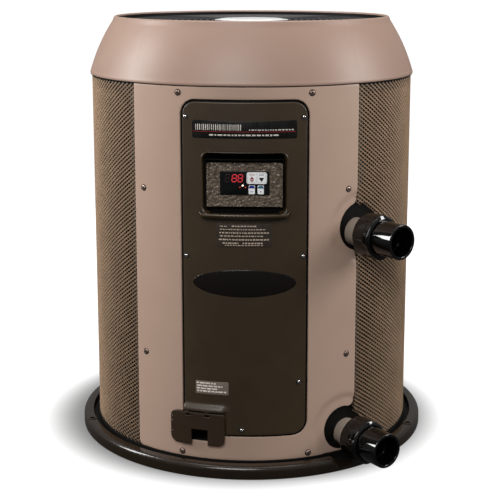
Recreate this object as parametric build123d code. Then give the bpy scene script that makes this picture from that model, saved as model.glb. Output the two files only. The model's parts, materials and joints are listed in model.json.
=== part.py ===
from build123d import *
import os
from math import cos, radians, sin

# Round vertical-discharge pool heater (electric heat pump).
# Millimetres. Origin on the ground under the middle of the base, +Z up, front towards -Y.
# Angles are in degrees round the Z axis, 0 at the front and positive towards +X.

os.makedirs("parts", exist_ok=True)

GAP = 0.3                     # air left between neighbouring pieces
INSIDE_R = 350.0              # where cuts through the skin start and stop, well clear of it
OUTSIDE_R = 400.0

# Base pan
BASE_R = 398.0
RIM_TOP = 28.0
RIM_INNER_R = 375.0
FLOOR_TOP = 14.0
LEDGE_R = 363.5               # ledge that carries the panel and the guard
UPSTAND_R = 359.4             # upstand that the panel and the guard wrap round
UPSTAND_TOP = 50.0
UPSTAND_IN_R = 353.0
RIM_ROUND = 10.0
PAN_CHAMFER = 2.0
NUT_RELIEF = (112.0, 39.0, 40.0)    # width, height and depth cut from the rim for the lower nut
NUT_RELIEF_MID_Z = 28.0
TIE_DOWN_R = 385.0
TIE_DOWN_ANGLES = (-110.0, -70.0, 70.0, 110.0)
TIE_DOWN_HOLE_R = 5.5

# Skin
SKIN_LOW = 28.0
SKIN_HIGH = 817.0
PANEL_IN_R = 360.0
PANEL_OUT_R = 363.0
PANEL_HALF_ANGLE = 40.0
MESH_IN_R = 359.7
MESH_OUT_R = 361.2
TOP_RING_LOW = 797.0
TOP_RING_HIGH = 818.3
TOP_RING_IN_R = 352.0
TOP_FLANGE = 1.0
POST_IN_R = 351.5
POST_OUT_R = 359.3
POST_SPANS = ((-42.3, -35.0), (35.0, 42.3), (108.5, 111.5), (178.5, 181.5), (248.5, 251.5))

# Cap, shroud and fan
CAP_LOW = 818.4
CAP_HIGH = 945.6
CAP_R = 365.0
CAP_RIM_R = 310.0
CAP_LIP_R = 303.5
CAP_LIP_LOW = 932.0
CAP_LIP_BACK_R = 306.5
CAP_LIP_ROOT = 938.5
CAP_WALL = 4.0
CAP_EDGE_H = 5.0
CAP_WAIST = (342.8, 884.8)          # point that the outer curve passes through
CAP_WAIST_INSIDE = (339.3, 882.5)
CAP_SHOULDER = (309.3, 944.7)
SHROUD_IN_R = 289.0
SHROUD_OUT_R = 302.8
SHROUD_LOW = 846.0
SHROUD_HIGH = 927.2
SHROUD_RIM_IN_R = 299.5
SHROUD_RIM_HIGH = 942.0
GUARD_FIRST_R = 88.0
GUARD_PITCH = 14.0
GUARD_RINGS = 15
GUARD_SPOKES = 8
GUARD_HIGH = 936.0
GUARD_WIRE = 3.0
GUARD_SPOKE = (60.0, 299.0)         # start and end radius
GUARD_SPOKE_W = 5.0
GUARD_SPOKE_H = 4.0
GUARD_CENTRE = (55.0, 62.0)
GUARD_PLATE_R = 84.0
GUARD_PLATE_LOW = 931.8
GUARD_PLATE_BOSS_R = 70.0
GUARD_PLATE_THICK = 4.0
GUARD_PLATE_TOP = 938.0
FAN_TIP_R = 281.0
FAN_BLADES = 5
FAN_Z = 888.0
BLADE_ROOT = (58.0, 3.5, 32.0)      # width, thickness, pitch
BLADE_TIP = (150.0, 3.0, 17.0)
MOTOR_R = 62.0
MOTOR_LOW = 735.0
MOTOR_HIGH = 850.0
HUB_R = 45.0
HUB_LOW = 868.0
HUB_HIGH = 908.0
SHAFT_R = 8.0
SHAFT_TOP = 912.0
SHAFT_IN_MOTOR = 29.0
MOUNT_LOW = 838.0
MOUNT_ARM_W = 22.0
MOUNT_ARM_H = 5.0

# Door and its fittings
DOOR_HALF_ANGLE = 20.7
DOOR_LOW = 84.0
DOOR_HIGH = 788.0
DOOR_CORNER = 29.0
DOOR_IN_R = 360.0
DOOR_OUT_R = 366.0
DOOR_REVEAL = 2.5
LABEL_THICK = 0.6
FILM_THICK = 0.3
BADGE_THICK = 1.6
BADGE_MID_Z = 414.0
BADGE_HALF = (108.0, 29.0)
LIP_START = -20.2
LIP_SWEEP = 14.2
LIP_LOW = 136.5
LIP_HIGH = 151.0
LIP_REACH = 8.0
DOOR_FRAME_ANGLE = 22.0
DOOR_FRAME_INNER_ANGLE = 18.4
DOOR_FRAME_Z = (72.0, 796.5)
DOOR_FRAME_OPENING_Z = (106.0, 770.0)
DOOR_FRAME_R = (355.0, 359.7)

# Control recess: hole in the door, bezel round it with the tray lip below, and the tub behind
APERTURE_HALF_W = 82.0
APERTURE_Z = (556.0, 672.0)
HOOD_HALF_W = 89.0
HOOD_Z = (556.0, 685.0)
HOOD_REACH = 7.0
HOOD_OPENING_HALF_W = 76.0
HOOD_OPENING_Z = (562.0, 668.0)
SILL_HALF_W = 94.0
SILL_Z = (549.0, 562.0)
SILL_REACH = 17.0
TUB_HALF_W = 80.5
TUB_Z = (557.5, 670.5)
TUB_FRONT_Y = -366.0
TUB_BACK_Y = -328.0
TUB_WALL = 1.5

# Control panel, flat, in a recess behind the door
PLATE_FRONT = -345.0
PLATE_THICK = 3.0
PLATE_HALF_W = 78.0
PLATE_Z = (571.0, 662.0)
DIGIT_SIZE = (10.6, 13.0)
DIGIT_Z = 630.2
DIGITS_LIT_X = (-21.9, -8.9)
DIGIT_UNLIT_X = -35.4
LAMPS = ((-9.5, 611.5), (-4.5, 614.0), (0.5, 611.5))
LAMP_R = 1.1
WINDOW_W = 101.0
WINDOW_H = 48.5
WINDOW_MID_Z = 620.3
WINDOW_THICK = 2.0
KEY_TRAVEL = 0.8

# Water connections: 2 inch unions, one above the other
UPPER_ANGLE = 41.0
UPPER_Z = 504.0
LOWER_ANGLE = 37.5
LOWER_Z = 64.0
PIPE_R = 30.15
PIPE_BORE_R = 26.0
PIPE_CLEARANCE_R = 34.0
THREAD_R = 42.3
NUT_START = 387.0
NUT_LENGTH = 48.0
NUT_WEB = 11.0
NUT_R = 46.0
NUT_LUG_R = 48.0
NUT_LUGS = 8
TAIL_R = 36.5
TAIL_END = 488.0
SOCKET_R = 30.2
SOCKET_DEPTH = 38.0
PORT_NOTCHES = ((41.2, 517.0, 51.0), (35.3, 79.0, 47.0))    # angle, height, radius
DISH_R = 82.0
DISH_DEPTH = 3.5

# Heat exchanger and refrigerant circuit
SHELL_ANGLE = 39.3
SHELL_DISTANCE = 250.0
SHELL_R = 72.0
SHELL_LOW = 16.0
SHELL_HIGH = 560.0
COIL_IN_R = 322.0
COIL_OUT_R = 350.0
COIL_START = 48.5
COIL_LOW = 16.0
COIL_HIGH = 786.0
COIL_BENDS = 14
BEND_R = 12.7
BEND_TUBE_R = 4.8
FIRST_BEND_Z = 55.0
BEND_STEP = 51.0
COMPRESSOR_XY = (-130.0, -60.0)
COMPRESSOR_R = 82.0
COMPRESSOR_LOW = 32.0
COMPRESSOR_HIGH = 430.0
BOLT_CIRCLE_R = 93.0
BOLT_HOLE_R = 5.0
GROMMET_R = 13.0
ACCUMULATOR_XY = (-60.0, 110.0)
DRIER_XY = (60.0, 120.0)

# Wiring entry
ENTRY_LEFT = -24.3
ENTRY_RIGHT = -7.0
ENTRY_Z = (66.0, 128.0)
ENTRY_CORNER = 6.0
COVER_LEFT = -25.2
COVER_RIGHT = -6.2
COVER_LOW = 60.0
COVER_HIGH = 131.0
COVER_IN_R = 366.8
COVER_OUT_R = 368.8
COVER_PIN_ANGLE = -15.8
COVER_PIN_R = 368.8
COVER_PIN_Z = 133.0
CONDUIT_ANGLE = -14.9
CONDUIT_Z = 80.0
CONDUIT_HOLE_R = 11.1
NOTCH_HALF_W = 18.0
NOTCH_TOP = 94.0
COVER_CORNER = 13.0
PIN_OFFSET = 22.0
PIN_R = 2.2
PIN_LENGTH = 9.0
CONDUIT_BOX_R = (300.0, 354.7)
CONDUIT_BOX_ANGLES = (-26.0, -5.5)
CONDUIT_BOX_Z = (58.0, 138.0)
CONDUIT_BOX_WALL = 1.5

# Screws: angle, height
PANEL_SCREWS = ((-22, 804), (22, 804), (-36, 600), (36, 600), (-36, 244), (36, 244), (-21.6, 38), (21.6, 38))
DOOR_SCREWS = ((-19.2, 756), (19.2, 756), (-19.2, 468), (19.2, 468), (18.0, 199), (-1.0, 97))
SCREW_HEAD_R = 5.6
SCREW_HEAD_H = 2.4
SCREW_R = 2.0
SCREW_IN_R = 356.0

FRONT = Plane(origin=(0, 0, 0), x_dir=(1, 0, 0), z_dir=(0, -1, 0))


def facing(angle, radius, z):
    """Plane standing on the cylinder of this radius, looking straight out; its x runs right and its y up."""
    a = radians(angle)
    origin = (radius * sin(a), -radius * cos(a), z)
    return Plane(origin=origin, x_dir=(cos(a), sin(a), 0), z_dir=(sin(a), -cos(a), 0))


def across(angle, radius):
    """Distance from the middle plane to a point at this angle and radius."""
    return radius * sin(radians(angle))


def ring(r_in, r_out, low, high):
    """Upright tube about the Z axis."""
    tube = Cylinder(r_out, high - low) - Cylinder(r_in, high - low)
    return Pos(0, 0, (low + high) / 2) * tube


def sector(r_in, r_out, low, high, start, stop):
    """Curved plate between two radii, from one angle round to another."""
    a = radians(start)
    half = Plane(origin=(0, 0, 0), x_dir=(sin(a), -cos(a), 0), z_dir=(-cos(a), -sin(a), 0))
    profile = half * Pos((r_in + r_out) / 2, (low + high) / 2) * Rectangle(r_out - r_in, high - low)
    return revolve(profile, Axis.Z, stop - start)


def spun(points):
    """Solid of revolution about Z from (radius, height) corners."""
    return revolve(Plane.XZ * make_face(Polyline(*points, close=True)), Axis.Z, 360)


def block(x, y, z):
    """Box from three (low, high) pairs."""
    size = Box(x[1] - x[0], y[1] - y[0], z[1] - z[0])
    return Pos((x[0] + x[1]) / 2, (y[0] + y[1]) / 2, (z[0] + z[1]) / 2) * size


def outline(x_low, x_high, low, high, corner):
    """Rounded rectangle drawn on the front plane."""
    return Pos((x_low + x_high) / 2, (low + high) / 2) * RectangleRounded(x_high - x_low, high - low, corner)


def wrapped(sketch, r_in, r_out):
    """Front outline carried onto the drum: the part of its prism that lies between two radii."""
    return extrude(FRONT * sketch, BASE_R + 20) & ring(r_in, r_out, 0, CAP_HIGH)


def radial(angle, z, radius, start, stop):
    """Round bar along a radius of the drum."""
    return facing(angle, (start + stop) / 2, z) * Cylinder(radius, stop - start)


def upright(xy, radius, low, high):
    """Vertical round bar."""
    return Pos(xy[0], xy[1], (low + high) / 2) * Cylinder(radius, high - low)


def bent_tube(points, bend, radius):
    """Tube of straight runs joined by tangent arcs."""
    path = FilletPolyline(*points, radius=bend)
    section = Plane(origin=path @ 0, z_dir=path % 0) * Circle(radius)
    return sweep(section, path=path)


def screws(places, seat_r):
    """Pan-head screws standing on a curved skin."""
    heads = []
    for angle, z in places:
        head = radial(angle, z, SCREW_HEAD_R, seat_r + 0.1, seat_r + SCREW_HEAD_H)
        shank = radial(angle, z, SCREW_R, SCREW_IN_R, seat_r + 0.1)
        heads.append(head + shank)
    return heads


def ports(radius, start, stop):
    """Clearance round both water pipes."""
    upper = radial(UPPER_ANGLE, UPPER_Z, radius, start, stop)
    return [upper, radial(LOWER_ANGLE, LOWER_Z, radius, start, stop)]


def notches(extra, start, stop):
    """Round notches of the skin where the water pipes come out."""
    return [radial(angle, z, radius + extra, start, stop) for angle, z, radius in PORT_NOTCHES]


def cut(body, tools):
    for tool in tools:
        body = body - tool
    return body


def put(solids):
    """Several separate solids as one node."""
    return Compound(children=list(solids))


nodes = {}
panel_screws = screws(PANEL_SCREWS, PANEL_OUT_R)
door_screws = screws(DOOR_SCREWS, DOOR_OUT_R)
nodes["panel_screws"] = put(panel_screws)
nodes["door_screws"] = put(door_screws)


# ---------------------------------------------------------------- base and frame

def base_pan():
    edge_r, bend = BASE_R - RIM_ROUND, RIM_ROUND * sin(radians(45))
    corner = (edge_r, RIM_TOP)
    middle = (edge_r + bend, RIM_TOP - RIM_ROUND + bend)
    side_top = (BASE_R, RIM_TOP - RIM_ROUND)
    side = Polyline((0, 0), (BASE_R - PAN_CHAMFER, 0), (BASE_R, PAN_CHAMFER), side_top)
    inside = Polyline(
        corner,
        (RIM_INNER_R + PAN_CHAMFER, RIM_TOP),
        (RIM_INNER_R, RIM_TOP - PAN_CHAMFER),
        (RIM_INNER_R, FLOOR_TOP),
        (LEDGE_R, FLOOR_TOP),
        (LEDGE_R, SKIN_LOW - GAP),
        (UPSTAND_R, SKIN_LOW - GAP),
        (UPSTAND_R, UPSTAND_TOP),
        (UPSTAND_IN_R, UPSTAND_TOP),
        (UPSTAND_IN_R, FLOOR_TOP),
        (0, FLOOR_TOP),
        (0, 0),
    )
    pan = revolve(Plane.XZ * make_face(side + ThreePointArc(side_top, middle, corner) + inside), Axis.Z, 360)
    for angle in TIE_DOWN_ANGLES:
        x, y = across(angle, TIE_DOWN_R), -TIE_DOWN_R * cos(radians(angle))
        pan = pan - upright((x, y), TIE_DOWN_HOLE_R, -1, RIM_TOP + 1)
    relief = facing(LOWER_ANGLE, (PANEL_OUT_R + BASE_R) / 2 + 9.5, NUT_RELIEF_MID_Z) * Box(*NUT_RELIEF)
    return cut(pan - relief, ports(PIPE_CLEARANCE_R + 1, 340, OUTSIDE_R) + panel_screws)


def dish_backs():
    """Room that the panel's pressed-in reliefs take behind the skin."""
    inner = PANEL_IN_R - DISH_DEPTH - GAP
    room = ring(inner, OUTSIDE_R, 0, SKIN_HIGH)
    return [radial(angle, z, DISH_R + GAP, 320, OUTSIDE_R) & room for angle, z, _ in PORT_NOTCHES]


def support_posts():
    """Posts between the base and the top ring, cut round the water pipes."""
    low, high = UPSTAND_TOP + GAP, TOP_RING_LOW - GAP
    posts = []
    for start, stop in POST_SPANS:
        post = sector(POST_IN_R, POST_OUT_R, low, high, start, stop)
        posts.append(cut(post, notches(3, 340, 370) + dish_backs() + panel_screws))
    return put([solid for post in posts for solid in post.solids()])


def top_ring():
    """Ring that the skin is screwed to, with a flange on top that carries the cap."""
    under = TOP_RING_HIGH - TOP_FLANGE
    flange = ring(TOP_RING_IN_R, CAP_R - 1, under, TOP_RING_HIGH)
    return cut(ring(TOP_RING_IN_R, UPSTAND_R, TOP_RING_LOW, under) + flange, panel_screws)


nodes["base_pan"] = base_pan()
nodes["support_posts"] = support_posts()
nodes["top_ring"] = top_ring()


# ---------------------------------------------------------------- skin

def door_outline(grow):
    side = across(DOOR_HALF_ANGLE, DOOR_OUT_R) + grow
    return outline(-side, side, DOOR_LOW - grow, DOOR_HIGH + grow, DOOR_CORNER + grow)


def entry_outline(grow):
    """Opening behind the wiring cover, shared by the panel and the door."""
    left, right = across(ENTRY_LEFT, DOOR_OUT_R), across(ENTRY_RIGHT, DOOR_OUT_R)
    return outline(left - grow, right + grow, ENTRY_Z[0] - grow, ENTRY_Z[1] + grow, ENTRY_CORNER)


def front_panel():
    half = PANEL_HALF_ANGLE
    sheet = PANEL_OUT_R - PANEL_IN_R
    dish_in_r, dish_out_r = PANEL_IN_R - DISH_DEPTH, PANEL_OUT_R - DISH_DEPTH
    panel = sector(PANEL_IN_R, PANEL_OUT_R, SKIN_LOW, SKIN_HIGH, -half, half)
    wide = sector(dish_in_r, PANEL_OUT_R, SKIN_LOW, SKIN_HIGH, -half, half)
    room = ring(dish_in_r, PANEL_OUT_R, UPSTAND_TOP + 1, SKIN_HIGH)
    for angle, z, _ in PORT_NOTCHES:
        back = radial(angle, z, DISH_R, 320, OUTSIDE_R) & room
        panel = panel + (wide & back)
        hollow = radial(angle, z, DISH_R - sheet, 320, OUTSIDE_R)
        panel = panel - (hollow & ring(dish_out_r, OUTSIDE_R, UPSTAND_TOP + 1, SKIN_HIGH))
    panel = cut(panel, notches(0, 330, OUTSIDE_R) + ports(PIPE_CLEARANCE_R, 330, OUTSIDE_R) + panel_screws)
    panel = panel - wrapped(door_outline(DOOR_REVEAL), INSIDE_R, OUTSIDE_R)
    return panel - wrapped(entry_outline(0), INSIDE_R, OUTSIDE_R)


def mesh_guard():
    edge = PANEL_HALF_ANGLE + GAP
    guard = sector(MESH_IN_R, MESH_OUT_R, SKIN_LOW, SKIN_HIGH, edge, 360 - edge)
    return cut(guard, notches(1, 330, OUTSIDE_R) + ports(PIPE_CLEARANCE_R, 330, OUTSIDE_R))


def top_cap():
    outer_low = (CAP_R, CAP_LOW + CAP_EDGE_H)
    outer_high = (CAP_RIM_R + 1.5, CAP_HIGH - CAP_WALL)
    rim = (CAP_RIM_R - 3.4, CAP_HIGH)
    lip_top = (CAP_LIP_R, CAP_HIGH - 2.5)
    lip_root = (CAP_LIP_BACK_R, CAP_LIP_ROOT)
    inner_low = (CAP_R - CAP_WALL, CAP_LOW + CAP_EDGE_H + 1)
    foot = (CAP_R - CAP_WALL, CAP_LOW)
    outer = (
        Polyline(foot, (CAP_R, CAP_LOW), outer_low)
        + ThreePointArc(outer_low, CAP_WAIST, outer_high)
        + ThreePointArc(outer_high, CAP_SHOULDER, rim)
    )
    inner = (
        Polyline(rim, lip_top, (CAP_LIP_R, CAP_LIP_LOW), (CAP_LIP_BACK_R, CAP_LIP_LOW), lip_root)
        + ThreePointArc(lip_root, CAP_WAIST_INSIDE, inner_low)
        + Line(inner_low, foot)
    )
    return revolve(Plane.XZ * make_face(outer + inner), Axis.Z, 360)


nodes["front_panel"] = front_panel()
nodes["mesh_guard"] = mesh_guard()
nodes["top_cap"] = top_cap()


# ---------------------------------------------------------------- fan

def fan_shroud():
    return spun((
        (SHROUD_IN_R, SHROUD_LOW),
        (SHROUD_OUT_R, SHROUD_LOW),
        (SHROUD_OUT_R, SHROUD_RIM_HIGH),
        (SHROUD_RIM_IN_R, SHROUD_RIM_HIGH),
        (SHROUD_RIM_IN_R, SHROUD_HIGH),
        (SHROUD_IN_R, SHROUD_HIGH),
    ))


def fan_guard():
    """Concentric wires on spokes that rest on the shroud."""
    low = SHROUD_HIGH + GAP
    spoke_top = low + GUARD_SPOKE_H
    guard = ring(*GUARD_CENTRE, low, spoke_top)
    for i in range(GUARD_SPOKES):
        spoke = block(GUARD_SPOKE, (-GUARD_SPOKE_W / 2, GUARD_SPOKE_W / 2), (low, spoke_top))
        guard = guard + Rot(0, 0, (i + 0.5) * 360 / GUARD_SPOKES) * spoke
    for i in range(GUARD_RINGS):
        radius = GUARD_FIRST_R + i * GUARD_PITCH
        guard = guard + ring(radius - GUARD_WIRE / 2, radius + GUARD_WIRE / 2, spoke_top - 1, GUARD_HIGH)
    return guard


def fan_guard_plate():
    step = GUARD_PLATE_LOW + GUARD_PLATE_THICK
    plate = upright((0, 0), GUARD_PLATE_R, GUARD_PLATE_LOW, step)
    return plate + upright((0, 0), GUARD_PLATE_BOSS_R, step, GUARD_PLATE_TOP)


def motor_mount():
    """Collar round the motor, held by four arms from a ring under the shroud."""
    high = SHROUD_LOW - GAP
    mount = ring(MOTOR_R + GAP, MOTOR_R + 8, MOUNT_LOW - 20, high)
    mount = mount + ring(SHROUD_IN_R + 1, SHROUD_OUT_R - 1, MOUNT_LOW, high)
    reach = (MOTOR_R + 6, SHROUD_IN_R + 4)
    arm = block(reach, (-MOUNT_ARM_W / 2, MOUNT_ARM_W / 2), (MOUNT_LOW, MOUNT_LOW + MOUNT_ARM_H))
    for i in range(4):
        mount = mount + Rot(0, 0, 45 + 90 * i) * arm
    return mount


def fan_motor():
    motor = upright((0, 0), MOTOR_R, MOTOR_LOW, MOTOR_HIGH)
    bell = upright((0, 0), MOTOR_R - 22, MOTOR_LOW - 12, MOTOR_LOW)
    nose = upright((0, 0), SHAFT_R + 10, MOTOR_HIGH, MOTOR_HIGH + 5)
    shaft_hole = upright((0, 0), SHAFT_R + 0.05, MOTOR_HIGH - SHAFT_IN_MOTOR - 1, MOTOR_HIGH + 6)
    return motor + bell + nose - shaft_hole


def fan_hub():
    boss_r = HUB_R / 2 - 0.5
    hub = upright((0, 0), HUB_R, HUB_LOW, HUB_HIGH) + upright((0, 0), boss_r, HUB_LOW - 10, HUB_LOW)
    return hub + upright((0, 0), SHAFT_R, MOTOR_HIGH - SHAFT_IN_MOTOR, SHAFT_TOP)


def fan_blades():
    blades = []
    root_w, root_t, root_pitch = BLADE_ROOT
    tip_w, tip_t, tip_pitch = BLADE_TIP
    for i in range(FAN_BLADES):
        turn = Rot(0, 0, i * 360 / FAN_BLADES)
        root = Plane(origin=(HUB_R - 3, 0, FAN_Z), x_dir=(0, 1, 0), z_dir=(1, 0, 0)) * Rot(0, 0, root_pitch)
        tip = Plane(origin=(FAN_TIP_R - 5, 0, FAN_Z), x_dir=(0, 1, 0), z_dir=(1, 0, 0)) * Rot(0, 0, tip_pitch)
        blade = loft([root * Rectangle(root_w, root_t), tip * Rectangle(tip_w, tip_t)])
        blade = blade & Pos(0, 0, FAN_Z) * Cylinder(FAN_TIP_R, 90)
        blades.append(turn * (blade - upright((0, 0), HUB_R, HUB_LOW - 8, HUB_HIGH + 8)))
    return put(blades)


nodes["fan_shroud"] = fan_shroud()
nodes["fan_guard"] = fan_guard()
nodes["fan_guard_plate"] = fan_guard_plate()
nodes["motor_mount"] = motor_mount()
nodes["fan_motor"] = fan_motor()
nodes["fan_hub"] = fan_hub()
nodes["fan_blades"] = fan_blades()


# ---------------------------------------------------------------- door

def door_frame():
    """Frame behind the door that its screws go into."""
    side = across(DOOR_FRAME_ANGLE, PANEL_IN_R)
    inner = across(DOOR_FRAME_INNER_ANGLE, PANEL_IN_R)
    frame = wrapped(outline(-side, side, *DOOR_FRAME_Z, DOOR_CORNER + 1), *DOOR_FRAME_R)
    opening = outline(-inner, inner, *DOOR_FRAME_OPENING_Z, DOOR_CORNER - 9)
    frame = frame - wrapped(opening, INSIDE_R, OUTSIDE_R)
    frame = frame - wrapped(entry_outline(2), INSIDE_R, OUTSIDE_R)
    return cut(frame, door_screws)


def access_door():
    door = wrapped(door_outline(0), DOOR_IN_R, DOOR_OUT_R)
    root, edge = DOOR_OUT_R - 1, DOOR_OUT_R + LIP_REACH
    lip_profile = ((root, LIP_HIGH), (root, LIP_LOW), (edge, LIP_LOW), (DOOR_OUT_R + 0.5, LIP_HIGH))
    a = radians(LIP_START)
    half = Plane(origin=(0, 0, 0), x_dir=(sin(a), -cos(a), 0), z_dir=(-cos(a), -sin(a), 0))
    door = door + revolve(half * make_face(Polyline(*lip_profile, close=True)), Axis.Z, LIP_SWEEP)
    door = door - wrapped(outline(-APERTURE_HALF_W, APERTURE_HALF_W, *APERTURE_Z, 8), INSIDE_R, OUTSIDE_R)
    door = door - wrapped(entry_outline(0), INSIDE_R, OUTSIDE_R)
    return cut(door, door_screws)


def control_hood():
    """Bezel round the control recess, with the tray lip along its lower edge."""
    seat = DOOR_OUT_R + 0.2
    frame = wrapped(outline(-HOOD_HALF_W, HOOD_HALF_W, *HOOD_Z, 12), seat, DOOR_OUT_R + HOOD_REACH)
    opening = outline(-HOOD_OPENING_HALF_W, HOOD_OPENING_HALF_W, *HOOD_OPENING_Z, 6)
    sill = wrapped(outline(-SILL_HALF_W, SILL_HALF_W, *SILL_Z, 6), seat, DOOR_OUT_R + SILL_REACH)
    return frame - wrapped(opening, INSIDE_R, OUTSIDE_R) + sill


def control_tub():
    """Box behind the bezel that the control panel sits in."""
    low, high = TUB_Z
    half = TUB_HALF_W - TUB_WALL
    outer = block((-TUB_HALF_W, TUB_HALF_W), (TUB_FRONT_Y, TUB_BACK_Y), TUB_Z)
    inner = block((-half, half), (TUB_FRONT_Y - 4, TUB_BACK_Y - TUB_WALL), (low + TUB_WALL, high - TUB_WALL))
    return (outer - inner) & ring(1, MESH_IN_R - GAP, low - 10, high + 10)


nodes["door_frame"] = door_frame()
nodes["access_door"] = access_door()
nodes["control_hood"] = control_hood()
nodes["control_tub"] = control_tub()


# ---------------------------------------------------------------- control panel

WINDOW_FRONT = PLATE_FRONT - WINDOW_THICK
BLOCK_X = (4.0, 45.4)
BLOCK_Z = (618.8, 642.6)
ARROW_KEYS = (("key_up", 14.9), ("key_down", 34.5))
SMALL_KEYS = (("key_left", 14.6), ("key_right", 32.8))
ARROW_KEY_SIZE = (17.6, 19.0)
SMALL_KEY_SIZE = (13.0, 18.0)
ARROW_KEY_Z = 630.7
SMALL_KEY_Z = 606.8
KEY_PLAY = 0.4
KEY_BAND_SIZE = (12.0, 6.0)
KEY_BAND_RISE = 5.5


def slab(x, z, size, corner, front, back):
    """Flat rounded plate lying in a plane of constant Y."""
    face = Pos(x, z) * RectangleRounded(size[0], size[1], corner)
    return extrude(Plane(origin=(0, back, 0), x_dir=(1, 0, 0), z_dir=(0, -1, 0)) * face, back - front)


def key_pockets(back):
    pockets = []
    rows = ((ARROW_KEYS, ARROW_KEY_SIZE, ARROW_KEY_Z), (SMALL_KEYS, SMALL_KEY_SIZE, SMALL_KEY_Z))
    for keys, size, z in rows:
        for _, x in keys:
            wide = (size[0] + 2 * KEY_PLAY, size[1] + 2 * KEY_PLAY)
            pockets.append(slab(x, z, wide, 3, WINDOW_FRONT - 5, back))
    return pockets


def arrow_mark(x, z, up):
    """Triangle standing on a key."""
    tip = 4.5 if up else -4.5
    corners = ((x - 4.5, z - tip * 0.8), (x + 4.5, z - tip * 0.8), (x, z + tip))
    face = make_face(Polyline(*corners, close=True))
    front = WINDOW_FRONT - 3.0
    return extrude(Plane(origin=(0, front, 0), x_dir=(1, 0, 0), z_dir=(0, -1, 0)) * face, 0.3)


def segments(x, z, width, height):
    """Seven bars of one digit, leaning slightly to the right."""
    bar = 2.0
    rows = (height / 2, 0.0, -height / 2)
    bars = []
    for dz in rows:
        lean = dz * 0.08
        bars.append(((x + lean, z + dz), (width - 2 * bar - 0.6, bar)))
    for dz in (height / 4, -height / 4):
        lean = dz * 0.08
        for side in (-1, 1):
            centre = (x + lean + side * (width / 2 - bar / 2), z + dz)
            bars.append((centre, (bar, height / 2 - bar / 2 - 0.4)))
    return [slab(c[0], c[1], size, 0.6, WINDOW_FRONT - 0.3, WINDOW_FRONT) for c, size in bars]


plate = block((-PLATE_HALF_W, PLATE_HALF_W), (PLATE_FRONT, PLATE_FRONT + PLATE_THICK), PLATE_Z)
window = slab(0, WINDOW_MID_Z, (WINDOW_W, WINDOW_H), 3, WINDOW_FRONT, PLATE_FRONT)
nodes["control_panel"] = plate
nodes["display_window"] = cut(window, key_pockets(PLATE_FRONT - 0.4))
nodes["display_digits"] = put([bar for x in DIGITS_LIT_X for bar in segments(x, DIGIT_Z, *DIGIT_SIZE)])
nodes["display_digit_unlit"] = put(segments(DIGIT_UNLIT_X, DIGIT_Z, *DIGIT_SIZE))
lamp_size = (LAMP_R * 2, LAMP_R * 2)
nodes["indicator_lamps"] = put([
    slab(x, z, lamp_size, LAMP_R - 0.1, WINDOW_FRONT - 0.4, WINDOW_FRONT) for x, z in LAMPS
])
block_size = (BLOCK_X[1] - BLOCK_X[0], BLOCK_Z[1] - BLOCK_Z[0])
key_block = slab(sum(BLOCK_X) / 2, sum(BLOCK_Z) / 2, block_size, 5, WINDOW_FRONT - 1.6, WINDOW_FRONT)
nodes["key_block"] = cut(key_block, key_pockets(PLATE_FRONT)[:2])
for name, x in ARROW_KEYS:
    nodes[name] = slab(x, ARROW_KEY_Z, ARROW_KEY_SIZE, 2.6, WINDOW_FRONT - 3.0, WINDOW_FRONT + 0.6)
    nodes[name + "_mark"] = arrow_mark(x, ARROW_KEY_Z, name == "key_up")
for name, x in SMALL_KEYS:
    nodes[name] = slab(x, SMALL_KEY_Z, SMALL_KEY_SIZE, 2.6, WINDOW_FRONT - 2.4, WINDOW_FRONT + 0.6)
    band_z = SMALL_KEY_Z + KEY_BAND_RISE
    nodes[name + "_band"] = slab(x, band_z, KEY_BAND_SIZE, 2.4, WINDOW_FRONT - 2.7, WINDOW_FRONT - 2.4)


# ---------------------------------------------------------------- plates on the door

def label(half_angle, low, high, corner, base_r, thick):
    side = across(half_angle, DOOR_OUT_R)
    return wrapped(outline(-side, side, low, high, corner), base_r, base_r + thick)


band_r = DOOR_OUT_R + 0.05
nodes["label_band"] = label(17.0, 714, 751, 3, band_r, LABEL_THICK)
nodes["label_stripe"] = label(15.6, 727.6, 729.6, 0.8, band_r + LABEL_THICK, FILM_THICK)
nodes["instruction_sticker"] = label(9.0, 491, 539, 2, band_r, FILM_THICK)
nodes["oval_badge"] = wrapped(Pos(0, BADGE_MID_Z) * Ellipse(*BADGE_HALF), band_r, band_r + BADGE_THICK)
rating = outline(across(-16.4, DOOR_OUT_R), across(-5.1, DOOR_OUT_R), 173, 201, 1.5)
nodes["rating_label"] = wrapped(rating, band_r, band_r + FILM_THICK)


# ---------------------------------------------------------------- wiring entry

def conduit_cover():
    left, right = across(COVER_LEFT, COVER_OUT_R), across(COVER_RIGHT, COVER_OUT_R)
    cover = wrapped(outline(left, right, COVER_LOW, COVER_HIGH, COVER_CORNER), COVER_IN_R, COVER_OUT_R)
    middle = across(CONDUIT_ANGLE, COVER_OUT_R)
    notch = outline(middle - NOTCH_HALF_W, middle + NOTCH_HALF_W, COVER_LOW - 20, NOTCH_TOP, 2)
    cover = cover - wrapped(notch, INSIDE_R, OUTSIDE_R)
    pin_plane = facing(COVER_PIN_ANGLE, COVER_PIN_R, COVER_PIN_Z)
    for offset in (-PIN_OFFSET, PIN_OFFSET):
        cover = cover + pin_plane * Pos(offset, 0, 0) * Rot(0, 90, 0) * Cylinder(PIN_R, PIN_LENGTH)
        cover = cover + pin_plane * Pos(offset, -3, 0) * Box(PIN_LENGTH, 6, 2)
    return cover


def conduit_box():
    r_in, r_out = CONDUIT_BOX_R
    low, high = CONDUIT_BOX_Z
    start, stop = CONDUIT_BOX_ANGLES
    wall = CONDUIT_BOX_WALL
    box = sector(r_in, r_out, low, high, start, stop)
    hollow = sector(r_in + wall, r_out + 2, low + wall, high - wall, start + 0.4, stop - 0.4)
    return box - hollow - radial(CONDUIT_ANGLE, CONDUIT_Z, CONDUIT_HOLE_R, r_in - 10, r_in + 10)


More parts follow.
